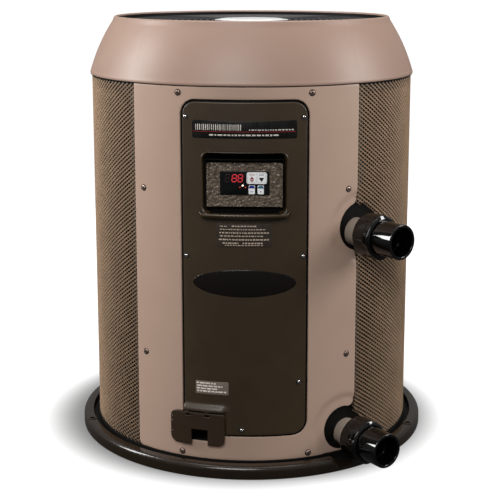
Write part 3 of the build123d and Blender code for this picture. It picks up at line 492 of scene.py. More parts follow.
# Material name, screen colour, roughness, colour variation, grain, cloud and surface's other settings.
FINISHES = {
    # The panel's taupe is set lighter and the cap's darker: painted light and shade that offset the stronger
    # light from above on the cap's tilted face.
    "panel": ("taupe_paint", (177, 150, 133), 0.40, 0.035, (1100, 0.10), 5, {"wear": 0.25}),
    "cap": ("taupe_plastic", (150, 123, 108), 0.45, 0.035, (700, 0.08), 4, {"wear": 0.2}),
    "netting": ("netting_brown", (208, 181, 154), 0.50, 0.08, (0, 0), 20, {"Specular_IOR_Level": 0.1}),
    "door": ("door_bronze", BRONZE, 0.40, 0.10, (1500, 0.25), 8, {"wear": 0.8}),
    "hood": ("hood_bronze", BRONZE, 0.30, 0.10, (1500, 0.12), 10, {"wear": 0.8}),
    "cover": ("cover_brown", (46, 31, 15), 0.45, 0.12, (1200, 0.2), 10, {"wear": 0.3}),
    "pan": ("pan_brown", (33, 24, 15), 0.20, 0.15, (420, 0.14), 30, {}),
    "pan_painted_shade": ("pan_shadow", (9, 7, 5), 0.6, 0.12, (500, 0.05), 6, {"Specular_IOR_Level": 0.2}),
    "gloss_black": ("pvc_black", (5, 4, 4), 0.05, 0.15, (400, 0.02), 12, {"rough_vary": 0.03}),
    "grille": ("grille_black", (12, 11, 11), 0.12, 0.15, (600, 0.03), 12, {}),
    "shroud": ("shroud_black", (9, 8, 7), 0.6, 0.15, (900, 0.12), 10, {"Specular_IOR_Level": 0.15}),
    "grey_pvc": ("pvc_grey", (150, 136, 122), 0.35, 0.06, (500, 0.06), 14, {}),
    "shell_pvc": ("shell_grey", (70, 64, 58), 0.6, 0.08, (500, 0.06), 14, {}),
    "bright": ("plate_bright", (232, 232, 230), 0.25, 0.04, (300, 0.05), 9, {"Metallic": 0.2}),
    "galvanised": ("galvanised", (56, 57, 58), 0.62, 0.15, (900, 0.05), 40, {"Metallic": 0.4}),
    "inside_steel": ("inside_steel", (40, 38, 35), 0.55, 0.15, (900, 0.05), 40, {"Metallic": 0.5}),
    "screw": ("screw_steel", (235, 230, 224), 0.16, 0.05, (2000, 0.03), 9, {"Metallic": 1.0}),
    "screw_dull": ("screw_brown", (150, 128, 116), 0.28, 0.08, (2000, 0.04), 9, {"Metallic": 0.8}),
    "screw_dark": ("screw_dark", (64, 52, 42), 0.35, 0.1, (2000, 0.04), 9, {"Metallic": 0.6}),
    "recess": ("screw_painted_shade", (14, 11, 9), 0.5, 0.1, (1500, 0.05), 9, {}),
    "motor": ("motor_black", (24, 24, 25), 0.4, 0.15, (700, 0.15), 15, {}),
    "fan": ("fan_grey", (34, 34, 36), 0.42, 0.1, (700, 0.08), 8, {}),
    "hub": ("hub_steel", (120, 120, 120), 0.35, 0.1, (900, 0.08), 9, {"Metallic": 0.9}),
    "copper": ("copper", (104, 62, 44), 0.6, 0.2, (900, 0.05), 20, {"Metallic": 0.6}),
    # The coil bends' copper is darkened as painted shade, since the heater's inside is dark.
    "shaded_copper": ("copper_painted_shade", (44, 28, 20), 0.55, 0.25, (900, 0.05), 30, {"Metallic": 0.6}),
    "window": ("window_black", (5, 6, 8), 0.12, 0.1, (300, 0.01), 9, {}),
    "digit_off": ("digit_unlit", (44, 24, 28), 0.3, 0.05, (1500, 0.02), 9, {}),
    "white": ("key_white", (252, 252, 252), 0.3, 0.02, (900, 0.03), 9, {}),
    "red": ("mark_red", (140, 26, 30), 0.35, 0.05, (900, 0.02), 9, {}),
    "black": ("mark_black", (14, 16, 26), 0.35, 0.05, (900, 0.02), 9, {}),
    "teal": ("mark_teal", (46, 104, 132), 0.35, 0.05, (900, 0.02), 9, {}),
    "blue": ("mark_blue", (22, 42, 140), 0.35, 0.05, (900, 0.02), 9, {}),
    "band": ("label_black", (9, 7, 6), 0.28, 0.15, (900, 0.04), 9, {}),
    "band_print": ("label_print", (205, 198, 188), 0.4, 0.05, (900, 0.02), 9, {}),
    "band_line": ("label_line", (120, 26, 28), 0.4, 0.05, (900, 0.02), 9, {}),
    "sticker": ("sticker_film", (52, 44, 36), 0.34, 0.06, (900, 0.03), 9, {}),
    "sticker_print": ("sticker_print", (186, 168, 150), 0.4, 0.25, (900, 0.02), 160, {}),
    "badge": ("badge_dark", (14, 9, 6), 0.16, 0.12, (600, 0.02), 9, {}),
    "pale": ("label_pale", (118, 106, 96), 0.38, 0.06, (900, 0.03), 9, {}),
    "pale_print": ("label_pale_print", (226, 216, 206), 0.38, 0.06, (900, 0.02), 9, {}),
    "enamel": ("compressor_enamel", (16, 16, 17), 0.65, 0.15, (600, 0.08), 9, {"Specular_IOR_Level": 0.2}),
    "rubber": ("rubber_black", (16, 16, 16), 0.7, 0.1, (900, 0.2), 9, {}),
}
MAT = {
    # The coil's aluminium fins are coloured near black: painted shade, so the inside stays dark behind the
    # netting.
    "coil": finned("coil_aluminium", linear(20, 17, 14), 0.0021),
    "plate": hammered("panel_hammered", linear(100, 87, 74), 0.30),
    "digit": glowing("digit_red", linear(214, 50, 62), 0.35),
    "lamp": glowing("lamp_white", linear(255, 236, 220), 1.4),
    "lamp_red": glowing("lamp_amber", linear(170, 60, 44), 0.5),
}
for finish, (name, colour, rough, vary, grain, cloud, others) in FINISHES.items():
    MAT[finish] = surface(name, linear(*colour), rough, vary=vary, grain=grain, cloud=cloud, **others)


# ---------------------------------------------------------------- base and cap

def base_pan():
    """Pan with a rounded rim, low under the inlet, a channel inside it coloured near black as painted shade,
    and an upstand for the skin.
    """
    top, floor, hollow = 28 * MM, 14 * MM, 0.02
    inner, well = 375 * MM, 353 * MM
    ledge, ledge_z = PANEL_R + 0.5 * MM, SKIN_BOTTOM - 0.4 * MM
    upstand, upstand_z = MESH_R - 1.8 * MM, 50 * MM
    profile = rounded([
        (hollow, 0, 0),
        (BASE_R, 0, 2 * MM),
        (BASE_R, top, 10 * MM),
        (inner, top, 2.2 * MM),
        (inner, floor, 2 * MM),
        (ledge, floor, 2 * MM),
        (ledge, ledge_z, 0.6 * MM),
        (upstand, ledge_z, 0),
        (upstand, upstand_z, 1 * MM),
        (well, upstand_z, 1 * MM),
        (well, floor, 2 * MM),
        (hollow, floor, 0),
    ])
    inlet = Vector(MOUNTS["water_inlet"]["axis"])
    dip_middle = atan2(inlet.y, inlet.x)
    dip_half = 56 / 385
    dip_from, dip_floor = 370 * MM, 8 * MM

    def dipped(turn, radius, height):
        """The rim is low where the lower union passes over it."""
        if radius < dip_from:
            return radius, height
        off = abs((turn - dip_middle + pi) % (2 * pi) - pi)
        share = 1 - smooth(off, dip_half - 0.02, dip_half + 0.005)
        return radius, height - share * max(0.0, height - dip_floor)

    bm = bmesh.new()
    add_lathe(bm, profile, DRUM_SEGMENTS, shape=dipped)
    # Every face inside the rim above the floor line takes the near-black second finish: painted shade in the
    # channel and well.
    for face in bm.faces:
        middle = face.calc_center_median()
        if middle.z > 0.5 * MM and middle.xy.length < inner + 1 * MM:
            face.material_index = 1
    drill(finished("base_pan_moulding", bm, "pan_plastic", ("pan", "pan_painted_shade"), "base_pan"))


def tie_downs():
    """Middles and radius of the tie-down holes, from the record's bolt pattern."""
    dims = MOUNTS["tie_downs"]["dims"]
    half_x = dims["spacing_x_mm"] * MM / 2
    half_y = dims["spacing_y_mm"] * MM / 2
    middles = [(x, y) for x in (-half_x, half_x) for y in (-half_y, half_y)]
    return middles, dims["hole_r_mm"] * MM


def drill(pan):
    """Cuts the tie-down holes through the rim."""
    middles, hole = tie_downs()
    drills = bmesh.new()
    for x, y in middles:
        bmesh.ops.create_cone(
            drills, cap_ends=True, segments=32, radius1=hole, radius2=hole, depth=60 * MM,
            matrix=Matrix.Translation((x, y, 15 * MM)),
        )
    tool = placed("drills", mesh_of("drills", drills))
    cut = pan.modifiers.new("holes", "BOOLEAN")
    cut.operation = "DIFFERENCE"
    cut.object = tool
    bpy.context.view_layer.update()
    shaped = bpy.data.meshes.new_from_object(pan.evaluated_get(bpy.context.evaluated_depsgraph_get()))
    pan.modifiers.clear()
    pan.data = shaped
    bpy.data.objects.remove(tool)


def tie_down_washers():
    """Steel washers let into the rim round the tie-down holes."""
    middles, hole = tie_downs()
    inner, outer = hole + 0.2 * MM, hole + 4.5 * MM
    low, high = 27.6 * MM, 29.4 * MM
    profile = rounded([(inner, low, 0), (outer, low, 0), (outer, high, 0.5 * MM), (inner, high, 0.5 * MM)])
    bm = bmesh.new()
    for x, y in middles:
        add_lathe(bm, profile, 40, Matrix.Translation((x, y, 0)))
    finished("tie_down_washers", bm, "screw_steel", "screw_dark")


def top_cap():
    """Tapering ring with a rolled lower lip, a rounded rim and two faint upright creases."""
    rim, lip = 310 * MM, 303.5 * MM
    outwards = Vector((0.910, 0.414))
    bulge, thick = 5 * MM, 3.5 * MM
    crease_at, crease_wide, crease_deep = 41.0, 0.7, 0.6 * MM

    def wall(share, inner):
        """Point of the tapering wall, from the lower lip (0) to the rim (1)."""
        low = Vector((CAP_R, CAP_BOTTOM + 7 * MM))
        high = Vector((rim + 1.2 * MM, CAP_TOP - 6 * MM))
        out = outwards * (bulge * 4 * share * (1 - share))
        return low.lerp(high, share) + out - outwards * (thick if inner else 0)

    profile = [(CAP_R - thick, CAP_BOTTOM + 0.6 * MM)]
    profile += arc((CAP_R - 1.6 * MM, CAP_BOTTOM + 1.6 * MM), 1.6 * MM, -90, 0, 20)
    profile += [(CAP_R, CAP_BOTTOM + 5.4 * MM), (CAP_R - 0.5 * MM, CAP_BOTTOM + 6.4 * MM)]
    profile += [tuple(wall(k / 24, False) - Vector((0.8 * MM, 0))) for k in range(1, 24)]
    profile += arc((rim - 4.2 * MM, CAP_TOP - 5.2 * MM), 5.2 * MM, 20, 90, 10)
    profile += arc((lip + 2.2 * MM, CAP_TOP - 2.2 * MM), 2.2 * MM, 90, 180, 20)
    profile += [(lip, 932 * MM), (lip + 3 * MM, 932 * MM), (lip + 3 * MM, 938 * MM)]
    profile += [tuple(wall(1 - k / 12, True)) for k in range(1, 12)]
    profile += [(CAP_R - thick, CAP_BOTTOM + 8 * MM)]

    def crease(turn, radius, height):
        angle = (turn * 180 / pi + 90 + 180) % 360 - 180
        share = smooth(height, CAP_BOTTOM + 6 * MM, CAP_BOTTOM + 20 * MM)
        share *= 1 - smooth(height, CAP_TOP - 14 * MM, CAP_TOP - 5 * MM)
        dent = exp(-((abs(angle) - crease_at) / crease_wide) ** 2) * crease_deep
        return radius - dent * share, height

    lathe_piece("cap_moulding", "taupe_plastic", "cap", ["top_cap"], profile, DRUM_SEGMENTS, None, crease)


# ---------------------------------------------------------------- skin

def dish(across, up):
    """Depth of the pressed-in reliefs round the two water ports."""
    depth = 0.0
    for angle, z in [notch[:2] for notch in NOTCHES]:
        distance = sqrt((across - arc_at(angle)) ** 2 + (up - z) ** 2)
        depth += 3.4 * MM * (1 - smooth(distance, 66 * MM, 80 * MM))
    return -depth


def notch_mouth(centre, radius, edge, fillet, end):
    """Fillet at a notch's mouth in an upright edge: its centre and the direction of its end on the notch."""
    gap = edge - fillet - centre[0]
    rise = sqrt((radius + fillet) ** 2 - gap ** 2) * end
    return (edge - fillet, centre[1] + rise), atan2(-rise, -gap) * 180 / pi


def panel_outline():
    edge = arc_at(PANEL_EDGE)
    large, small, cut, wide, tight = 12 * MM, 4 * MM, 2 * MM, 14 * MM, 4 * MM
    points = [(-edge + cut, SKIN_TOP), (-edge, SKIN_TOP - cut)]
    points += arc((-edge + large, SKIN_BOTTOM + large), large, 180, 270)
    points += arc((edge - small, SKIN_BOTTOM + small), small, 270, 350)
    upper, lower = NOTCHES
    for (angle, z, radius), first, second in ((lower, tight, wide), (upper, wide, wide)):
        centre = (arc_at(angle), z)
        low, meet = notch_mouth(centre, radius, edge, first, -1)
        high, leave = notch_mouth(centre, radius, edge, second, 1)
        points += arc(low, first, 0 if first == wide else meet - 20, meet)
        points += arc(centre, radius, meet + 180, leave + 180, 4)
        points += arc(high, second, leave, 0)
    points += [(edge, SKIN_TOP - cut), (edge - cut, SKIN_TOP)]
    return points


# Wiring entry, at the door's lower left corner.
ENTRY_LEFT = arc_at(-24.3)
ENTRY_RIGHT = arc_at(-7.0)
ENTRY_LOW = 66 * MM
ENTRY_HIGH = 128 * MM


def door_edges(grow):
    """Half width, lower and upper edge, and corner radius of the door's outline, grown all round."""
    return arc_at(20.7) + grow, 84 * MM - grow, 788 * MM + grow, 29 * MM + grow


def front_panel():
    side, low, high, corner = door_edges(3.6 * MM)
    opening = rounded([
        (side, low, corner),
        (side, high, corner),
        (-side, high, corner),
        (-side, ENTRY_HIGH, 3 * MM),
        (ENTRY_LEFT, ENTRY_HIGH, 8 * MM),
        (ENTRY_LEFT, ENTRY_LOW, 8 * MM),
        (ENTRY_RIGHT, ENTRY_LOW, 8 * MM),
        (ENTRY_RIGHT, low, 3 * MM),
    ])
    rows = [k * 7 * MM for k in range(5, 117)]
    plate_piece(
        "front_panel_sheet", "taupe_paint", "panel", ["front_panel"],
        panel_outline(), [opening], 3 * MM, 1.4 * MM, on_drum(PANEL_R), rows=rows, relief=dish, sharp=40,
    )


# ---------------------------------------------------------------- netting

# Ends of the four stretches, in degrees. The column of diamonds at 110, 180 and 250 is in both its neighbours.
NETTING_ENDS = (40.8, 110, 180, 250, 319.2)


def netting(index, start, stop):
    """One stretch of the diamond netting: a closed lattice of flat strands that lean outwards at the top."""
    half_wide, half_tall = 6.7 * MM, 4.5 * MM
    open_share = 0.84
    drop = 2.1 * MM
    ridge, valley, back = MESH_R, MESH_R - 2.2 * MM, MESH_R - 3.0 * MM
    around = round(2 * pi * MESH_R / half_wide / 2) * 2
    rows = int((SKIN_TOP - SKIN_BOTTOM) / half_tall)
    first, last = round(around * start / 360), round(around * stop / 360)
    verts, faces, flat, known, is_back = [], [], [], {}, []

    def in_notch(angle, z):
        """Whether a diamond's middle lies in the clear round a water port."""
        return any(
            sqrt(((angle - a) / 180 * pi * MESH_R) ** 2 + (z - notch_z) ** 2) < radius - 1 * MM
            for a, notch_z, radius in NOTCHES
        )

    def point(across, up, radius, side):
        """Index of a vertex, shared by the diamonds that meet in it."""
        key = (round(across * 1e6), round(up * 1e6), side)
        if key not in known:
            angle = across / (around * half_wide) * 2 * pi
            known[key] = len(verts)
            verts.append((radius * sin(angle), -radius * cos(angle), SKIN_BOTTOM + up))
            share = (across / half_wide - first + 1) / (last - first + 2)
            flat.append((share, up / half_tall / (rows + 1)))
        return known[key]

    ways = ((half_wide, 0), (0, half_tall), (-half_wide, 0), (0, -half_tall))
    for column in range(first, last + 1):
        for row in range(1, rows + (column % 2)):
            x, y = column * half_wide, row * half_tall
            if (column + row) % 2 == 0 or in_notch(column / around * 360, y + SKIN_BOTTOM):
                continue
            for (ax, ay), (bx, by) in zip(ways, ways[1:] + ways[:1]):
                inner_a = point(x + ax * open_share, y + ay * open_share - drop, valley, "hole")
                inner_b = point(x + bx * open_share, y + by * open_share - drop, valley, "hole")
                for radius, side, fall in ((ridge, "front", 0.0), (back, "back", drop)):
                    outer_a = point(x + ax, y + ay - fall, radius, side)
                    outer_b = point(x + bx, y + by - fall, radius, side)
                    face = (inner_a, outer_a, outer_b, inner_b)
                    faces.append(face if side == "front" else face[::-1])
                    is_back.append(side == "back")
    mesh = bpy.data.meshes.new(f"netting_{index}")
    mesh.from_pydata(verts, [], faces)
    # The front faces take the left half of the layer for baking, the back faces the right half.
    layer = mesh.uv_layers.new(name="OFBake")
    coordinates = []
    for face, behind in zip(faces, is_back):
        for vert in face:
            coordinates += [flat[vert][0] * 0.49 + (0.5 if behind else 0.0), flat[vert][1]]
    layer.data.foreach_set("uv", coordinates)
    # The back faces take the black shroud finish: painted shade that keeps the holes between the strands dark.
    mesh.materials.append(MAT["netting"])
    mesh.materials.append(MAT["shroud"])
    mesh.polygons.foreach_set("material_index", [int(behind) for behind in is_back])
    piece = placed(f"netting_{index}", mesh)
    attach(piece, "heater")
    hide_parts("mesh_guard")


# ---------------------------------------------------------------- door

LIP_LOW = 136 * MM
LIP_HIGH = 152 * MM
LIP_END = arc_at(-6.0)


def door_relief(across, up):
    """Ledge pressed out of the door over the wiring cover, turning down beside it."""
    over = 1 - smooth(up, LIP_LOW + 2 * MM, LIP_HIGH) if up > LIP_LOW else 0.0
    reach = 1 - smooth(across, LIP_END - 9 * MM, LIP_END + 3 * MM)
    beside = smooth(across, LIP_END - 3 * MM, LIP_END)
    beside *= 1 - smooth(across, LIP_END + 1 * MM, LIP_END + 11 * MM)
    below = 1 - smooth(up, LIP_LOW, LIP_HIGH)
    return max(7.6 * MM * over * reach, 2.4 * MM * beside * below)


def access_door():
    side, low, high, corner = door_edges(-1.2 * MM)
    outline = rounded([
        (side, low, corner),
        (side, high, corner),
        (-side, high, corner),
        (-side, ENTRY_HIGH, 1.2 * MM),
        (ENTRY_RIGHT, ENTRY_HIGH, 4 * MM),
        (ENTRY_RIGHT, low, 3 * MM),
    ])
    opening = rectangle(-88 * MM, 88 * MM, 554 * MM, 685 * MM, 15 * MM)
    rows = [LIP_LOW - 0.2 * MM, LIP_LOW + 0.3 * MM]
    rows += [k * 3 * MM for k in range(28, 52)]
    rows += [k * 8 * MM for k in range(20, 99)]
    plate_piece(
        "door_sheet", "bronze_door", "door", ["access_door"],
        outline, [opening], 2.6 * MM, 2.0 * MM, ON_DOOR, 4 * MM, rows, door_relief, sharp=40,
    )


HOOD_LOW = 556 * MM
HOOD_HIGH = 686 * MM
HOOD_HALF = 89.5 * MM


def control_hood():
    """Rolled mouth of the control recess, and the tray lip along its lower edge."""
    # Rings of the mouth, in mm inwards and outwards: over the roll, down the recess and back behind it.
    roll = (
        (0.0, 0.4), (0.5, 0.9), (1.2, 0.9), (2.0, 0.1),
        (2.8, -2.2), (3.4, -6.0), (3.8, -12.0), (4.0, -20.0),
    )
    back = ((3.0, -20.0), (2.4, -10.0), (1.2, -4.0), (0.2, -1.5))
    corner = 14 * MM
    loops = []
    for inwards, out in roll + back:
        half, low = HOOD_HALF - inwards * MM, HOOD_LOW + inwards * 0.7 * MM
        ring = rectangle(-half, half, low, HOOD_HIGH - inwards * MM, corner)
        # Straight edges are divided so that they follow the drum.
        loops.append([ON_DOOR(Vector((x, y, out * MM))) for x, y in matched(ring)])
    bm = bmesh.new()
    loft(bm, loops + loops[:1])
    # Section of the tray, in mm out and up. Its last five points and its first lie inside.
    section = (
        (-12.0, 0.0), (0.0, -6.5), (7.0, -5.8), (13.0, -3.0), (16.4, 1.2), (17.0, 4.0),
        (16.0, 5.4), (14.2, 5.0), (12.6, 2.4), (8.0, 0.6), (0.0, 0.2), (-12.0, 1.5),
    )
    # Along the tray: place, rise and share of the full reach. Its ends turn up and in.
    straight = [(-80 * MM + 4 * MM * k, 0.0, 1.0) for k in range(41)]
    bends = [radians(t) for t in (15, 30, 45, 60, 72)]
    right = [(80 * MM + 11.5 * MM * sin(t), 13 * MM * (1 - cos(t)), cos(t) ** 0.6) for t in bends]
    left = [(-x, rise, share) for x, rise, share in reversed(right)]
    tray_z = 555 * MM
    sections = []
    for x, rise, share in left + straight + right:
        ring = []
        for out, up in section:
            reach = out * share if out > 0 else out
            ring.append(ON_DOOR(Vector((x, tray_z + rise + up * MM * (0.4 + 0.6 * share), reach * MM))))
        sections.append(ring)
    rings = loft(bm, sections, ends=True)
    # Faces between the inside points take the black second finish: painted shade on the tray's inner top,
    # behind the lip.
    inside = {vert for ring in rings for vert in ring[7:] + ring[:1]}
    for face in {face for vert in inside for face in vert.link_faces}:
        if all(vert in inside for vert in face.verts):
            face.material_index = 1
    finished("control_mouth", bm, "bronze_door", ("hood", "shroud"), "control_hood", sharp=50)


PLATE_Y = -345 * MM
WINDOW_Y = -347 * MM
KEY_Y = -350 * MM
# A step longer than the plates of the controls, which are flat and need no cuts.
UNCUT = 30 * MM


def control_plate():
    """Hammered plate with its sides folded forward."""
    front = ((-77.5, 8.0), (-70.5, 0.0), (70.5, 0.0), (77.5, 8.0))
    back = ((77.5, 5.5), (71.5, -2.5), (-71.5, -2.5), (-77.5, 5.5))
    loop = [(x * MM, PLATE_Y - out * MM) for x, out in front + back]
    low, middle, high = 571.5 * MM, 617 * MM, 662 * MM
    bm = bmesh.new()
    loft(bm, [[(x, y, z) for x, y in loop] for z in (low, middle, high)], ends=True)
    bmesh.ops.bevel(bm, geom=bm.edges[:], offset=0.5 * MM, segments=2, affect="EDGES")
    finished("control_fascia", bm, "panel_grey", "plate", "control_panel", sharp=30)


ARROWS_X = (14.9 * MM, 34.5 * MM)
ARROWS_Z = 630.7 * MM
ARROW_SIZE = (17.6 * MM, 19 * MM)
SMALLS_X = (14.6 * MM, 32.8 * MM)
SMALLS_Z = 606.8 * MM
SMALL_SIZE = (13 * MM, 18 * MM)
KEY_PLAY = 0.4 * MM


def key_outline(x, z, size, spread=0.0):
    wide, tall = size[0] / 2 + spread, size[1] / 2 + spread
    return rectangle(x - wide, x + wide, z - tall, z + tall, 2 * MM)


def display_window():
    """Black window, open behind each key so that the key can sink in."""
    outline = rectangle(-50.5 * MM, 50.5 * MM, 596 * MM, 644.5 * MM, 1.6 * MM)
    holes = [key_outline(x, ARROWS_Z, ARROW_SIZE, KEY_PLAY) for x in ARROWS_X]
    holes += [key_outline(x, SMALLS_Z, SMALL_SIZE, KEY_PLAY) for x in SMALLS_X]
    plate_piece(
        "display_lens", "window_black", "window", ["display_window"],
        outline, holes, 2 * MM, 0.2 * MM, on_plane(WINDOW_Y), UNCUT,
    )


def add_digit(bm, x, z):
    """Seven-segment figure with all its bars."""
    wide, tall, bar = 8.6 * MM, 14.6 * MM, 1.9 * MM
    lean = 0.10
    bars = (
        (0, tall / 2, True), (wide / 2, tall / 4, False), (wide / 2, -tall / 4, False),
        (0, -tall / 2, True), (-wide / 2, -tall / 4, False), (-wide / 2, tall / 4, False), (0, 0, True),
    )
    for across, up, level in bars:
        half = (wide if level else tall / 2) / 2 - 0.35 * MM
        flat = [
            (-half, 0), (-half + bar / 2, -bar / 2), (half - bar / 2, -bar / 2),
            (half, 0), (half - bar / 2, bar / 2), (-half + bar / 2, bar / 2),
        ]
        if not level:
            flat = [(-b, a) for a, b in flat]
        shape = [(x + across + a + lean * (up + b), z + up + b) for a, b in flat]
        add_plate(bm, shape, [], 0.3 * MM, 0.1 * MM, on_plane(WINDOW_Y - 0.32 * MM), UNCUT)


def display_figures():
    figures_z = 630.4 * MM
    bm = bmesh.new()
    for x in (-21.2 * MM, -8.9 * MM):
        add_digit(bm, x, figures_z)
    finished("display_figures", bm, "digit_red", "digit", "display_digits")
    bm = bmesh.new()
    add_digit(bm, -35.6 * MM, figures_z)
    finished("display_figure_unlit", bm, "digit_unlit", "digit_off", "display_digit_unlit")


def lamps():
    """Three small lamps in a row, the middle one raised and lit."""
    axis = 0.05 * MM
    base = 0.4 * MM
    bm = bmesh.new()
    for x, z, radius, material in ((-9.8, 611.6, 1.5, 0), (-4.0, 615.4, 1.9, 1), (1.6, 611.6, 1.5, 0)):
        place = Matrix.Translation((x * MM, WINDOW_Y - 0.1 * MM, z * MM)) @ Matrix.Rotation(pi / 2, 4, "X")
        dome = [(axis, -base), (radius * MM, -base), (radius * MM, base)]
        dome += [(radius * MM * cos(t), base + radius * 0.6 * MM * sin(t)) for t in (0.4, 0.8, 1.2)]
        dome += [(axis, base + radius * 0.6 * MM)]
        add_lathe(bm, dome, 20, place, material=material)
    finished("lamps", bm, "lamp_amber", ("lamp_red", "lamp"), "indicator_lamps")


def key_block():
    """White block with rounded corners, open round the two upper keys."""
    outline = rectangle(4 * MM, 45.4 * MM, 619 * MM, 643 * MM, 4.2 * MM)
    holes = [rectangle(x - 9 * MM, x + 9 * MM, 621 * MM, 640.6 * MM, 1.6 * MM) for x in ARROWS_X]
    plate_piece(
        "key_surround", "key_white", "white", ["key_block"],
        outline, holes, 2 * MM, 0.5 * MM, on_plane(KEY_Y + 0.5 * MM), UNCUT,
    )


def key(side, x, z, size, mark_node, marks, finish, slot):
    """One white key with its printed marks, moving together."""
    name, node_name = f"{side}_button", f"key_{side}"
    body = f"{side}_key"
    plate_piece(
        name, "key_white", "white", [node_name],
        key_outline(x, z, size), [], 2.2 * MM, 0.7 * MM, on_plane(KEY_Y), UNCUT, body=body,
    )
    bm = bmesh.new()
    for mark in marks:
        add_plate(bm, mark, [], 0.4 * MM, 0.12 * MM, on_plane(KEY_Y - 0.3 * MM), UNCUT)
    finished(f"{name}_print", bm, slot, finish, mark_node, body=body)


def keys():
    def at(x, z, *points):
        """Mark round a point, from millimetres."""
        return [(x + a * MM, z + b * MM) for a, b in points]

    up, down = ARROWS_X
    top = ARROWS_Z
    rule_z = top + 6.6 * MM
    rise = [
        at(up, top - 1 * MM, (-4.6, -1.2), (4.6, -1.2), (0, 5)),
        at(up, top - 3.6 * MM, (-4.2, 0), (0, -4.2), (4.2, 0)),
        at(up, rule_z, (-6, 0), (6, 0), (6, 1.4), (-6, 1.4)),
    ]
    fall = [
        at(down, top - 2 * MM, (-5.6, 3.4), (0, -5), (5.6, 3.4)),
        at(down, rule_z, (-5, 0), (5, 0), (5, 1.4), (-5, 1.4)),
    ]
    key("up", up, top, ARROW_SIZE, "key_up_mark", rise, "red", "mark_red")
    key("down", down, top, ARROW_SIZE, "key_down_mark", fall, "black", "mark_black")
    dash = ((-3, -0.6), (3, -0.6), (3, 0.6), (-3, 0.6))
    dot = ((-1.1, -1.1), (1.1, -1.1), (1.1, 1.1), (-1.1, 1.1))
    cap = ((-6.0, -1.6), (6.0, -1.6), (6.0, 0.6), (3.2, 3.8), (-3.2, 3.8), (-6.0, 0.6))
    for side, x, sign, finish in (("left", SMALLS_X[0], dash, "blue"), ("right", SMALLS_X[1], dot, "teal")):
        marks = [at(x, SMALLS_Z + 5 * MM, *cap), at(x, SMALLS_Z - 3.6 * MM, *sign)]
        key(side, x, SMALLS_Z, SMALL_SIZE, f"key_{side}_band", marks, finish, "mark_blue")


# ---------------------------------------------------------------- labels

ON_BAND = 0.79 * MM
ON_FILM = 0.74 * MM


def dashes(bm, left, right, z, tall, seed, longest, base, gap=1.6 * MM):
    """A line of short printed bars standing for writing."""
    x, k = left, seed
    while x < right - 2 * MM:
        k = (k * 37 + 11) % 101
        wide = min(longest * (0.35 + 0.65 * k / 101), right - x)
        low, high = z - tall / 2, z + tall / 2
        bar = [(x, low), (x + wide, low), (x + wide, high), (x, high)]
        add_plate(bm, bar, [], 0.14 * MM, 0.04 * MM, ON_DOOR, 8 * MM, base=base)
        x += wide + gap


def film(name, slot, finish, replaced, left, right, low, high, corner):
    """Thin label stuck on the door."""
    outline = rectangle(left, right, low, high, corner)
    plate_piece(name, slot, finish, replaced, outline, [], 0.6 * MM, 0.15 * MM, ON_DOOR, base=0.6 * MM)


def label_band():
    """Black strip with a slightly hollow top edge, a red rule and lines of pale bars."""
    left, right = arc_at(-16.8, DOOR_R), arc_at(16.8, DOOR_R)
    low, high = 714 * MM, 751 * MM
    outline = []
    for x, z in divided(rectangle(left, right, low, high, 4 * MM), 8 * MM):
        sag = 2.6 * MM * sin(pi * (x - left) / (right - left)) if z > (low + high) / 2 else 0.0
        outline.append((x, z - sag))
    strip = (outline, [], 0.6 * MM, 0.2 * MM, ON_DOOR)
    plate_piece("label_strip", "label_black", "band", ["label_band"], *strip, base=0.65 * MM)
    rule = rectangle(left + 2 * MM, right - 2 * MM, 727.0 * MM, 728.3 * MM, 0.3 * MM)
    line = (rule, [], 0.16 * MM, 0.05 * MM, ON_DOOR)
    plate_piece("label_rule", "label_red", "band_line", ["label_stripe"], *line, base=ON_BAND)
    bm = bmesh.new()
    dashes(bm, left + 36 * MM, right - 34 * MM, 721 * MM, 3.0 * MM, 7, 11 * MM, ON_BAND, 2.4 * MM)
    dashes(bm, arc_at(1.5), right - 6 * MM, 731.6 * MM, 2.2 * MM, 19, 7 * MM, ON_BAND, 2.2 * MM)
    dashes(bm, left + 7 * MM, left + 104 * MM, 736.5 * MM, 12 * MM, 3, 2.3 * MM, ON_BAND, 2.5 * MM)
    finished("label_bars", bm, "label_pale", "band_print")


def instruction_sticker():
    left, right = arc_at(-9.0, DOOR_R), arc_at(9.0, DOOR_R)
    low, high = 491 * MM, 539 * MM
    film("sticker_film", "sticker_dark", "sticker", ["instruction_sticker"], left, right, low, high, 2 * MM)
    # Start, stop, height and letter height of each line, in mm.
    lines = in_mm(
        (-50, -34, 534.0, 2.0), (-26, 26, 534.6, 2.8), (-50, 44, 527.6, 2.0), (-51, 50, 520.6, 2.6),
        (-50, 40, 513.8, 2.2), (-52, 50, 506.4, 2.8), (-44, -12, 499.0, 3.0), (-4, 40, 499.0, 3.0),
        (-40, 38, 494.6, 1.6),
    )
    bm = bmesh.new()
    for k, (start, stop, z, tall) in enumerate(lines):
        dashes(bm, start, stop, z, tall, 13 * k + 5, 7 * MM, ON_FILM)
    finished("sticker_bars", bm, "label_pale", "sticker_print")


def oval_badge():
    """Plain dark oval, domed towards its middle, with no wording."""
    half_wide, half_tall, middle_z = 108, 29, 414 * MM
    turns = [2 * pi * k / 96 for k in range(96)]
    outline = [(half_wide * MM * cos(t), middle_z + half_tall * MM * sin(t)) for t in turns]

    def dome(across, up):
        share = sqrt((across / half_wide / MM) ** 2 + ((up - middle_z) / half_tall / MM) ** 2)
        return 0.9 * MM * (1 - min(1.0, share) ** 2)

    rows = [middle_z + k * 6 * MM for k in range(-5, 6)]
    plate_piece(
        "badge_oval", "badge_dark", "badge", ["oval_badge"],
        outline, [], 1.0 * MM, 0.8 * MM, ON_DOOR, rows=rows, relief=dome, base=0.7 * MM,
    )


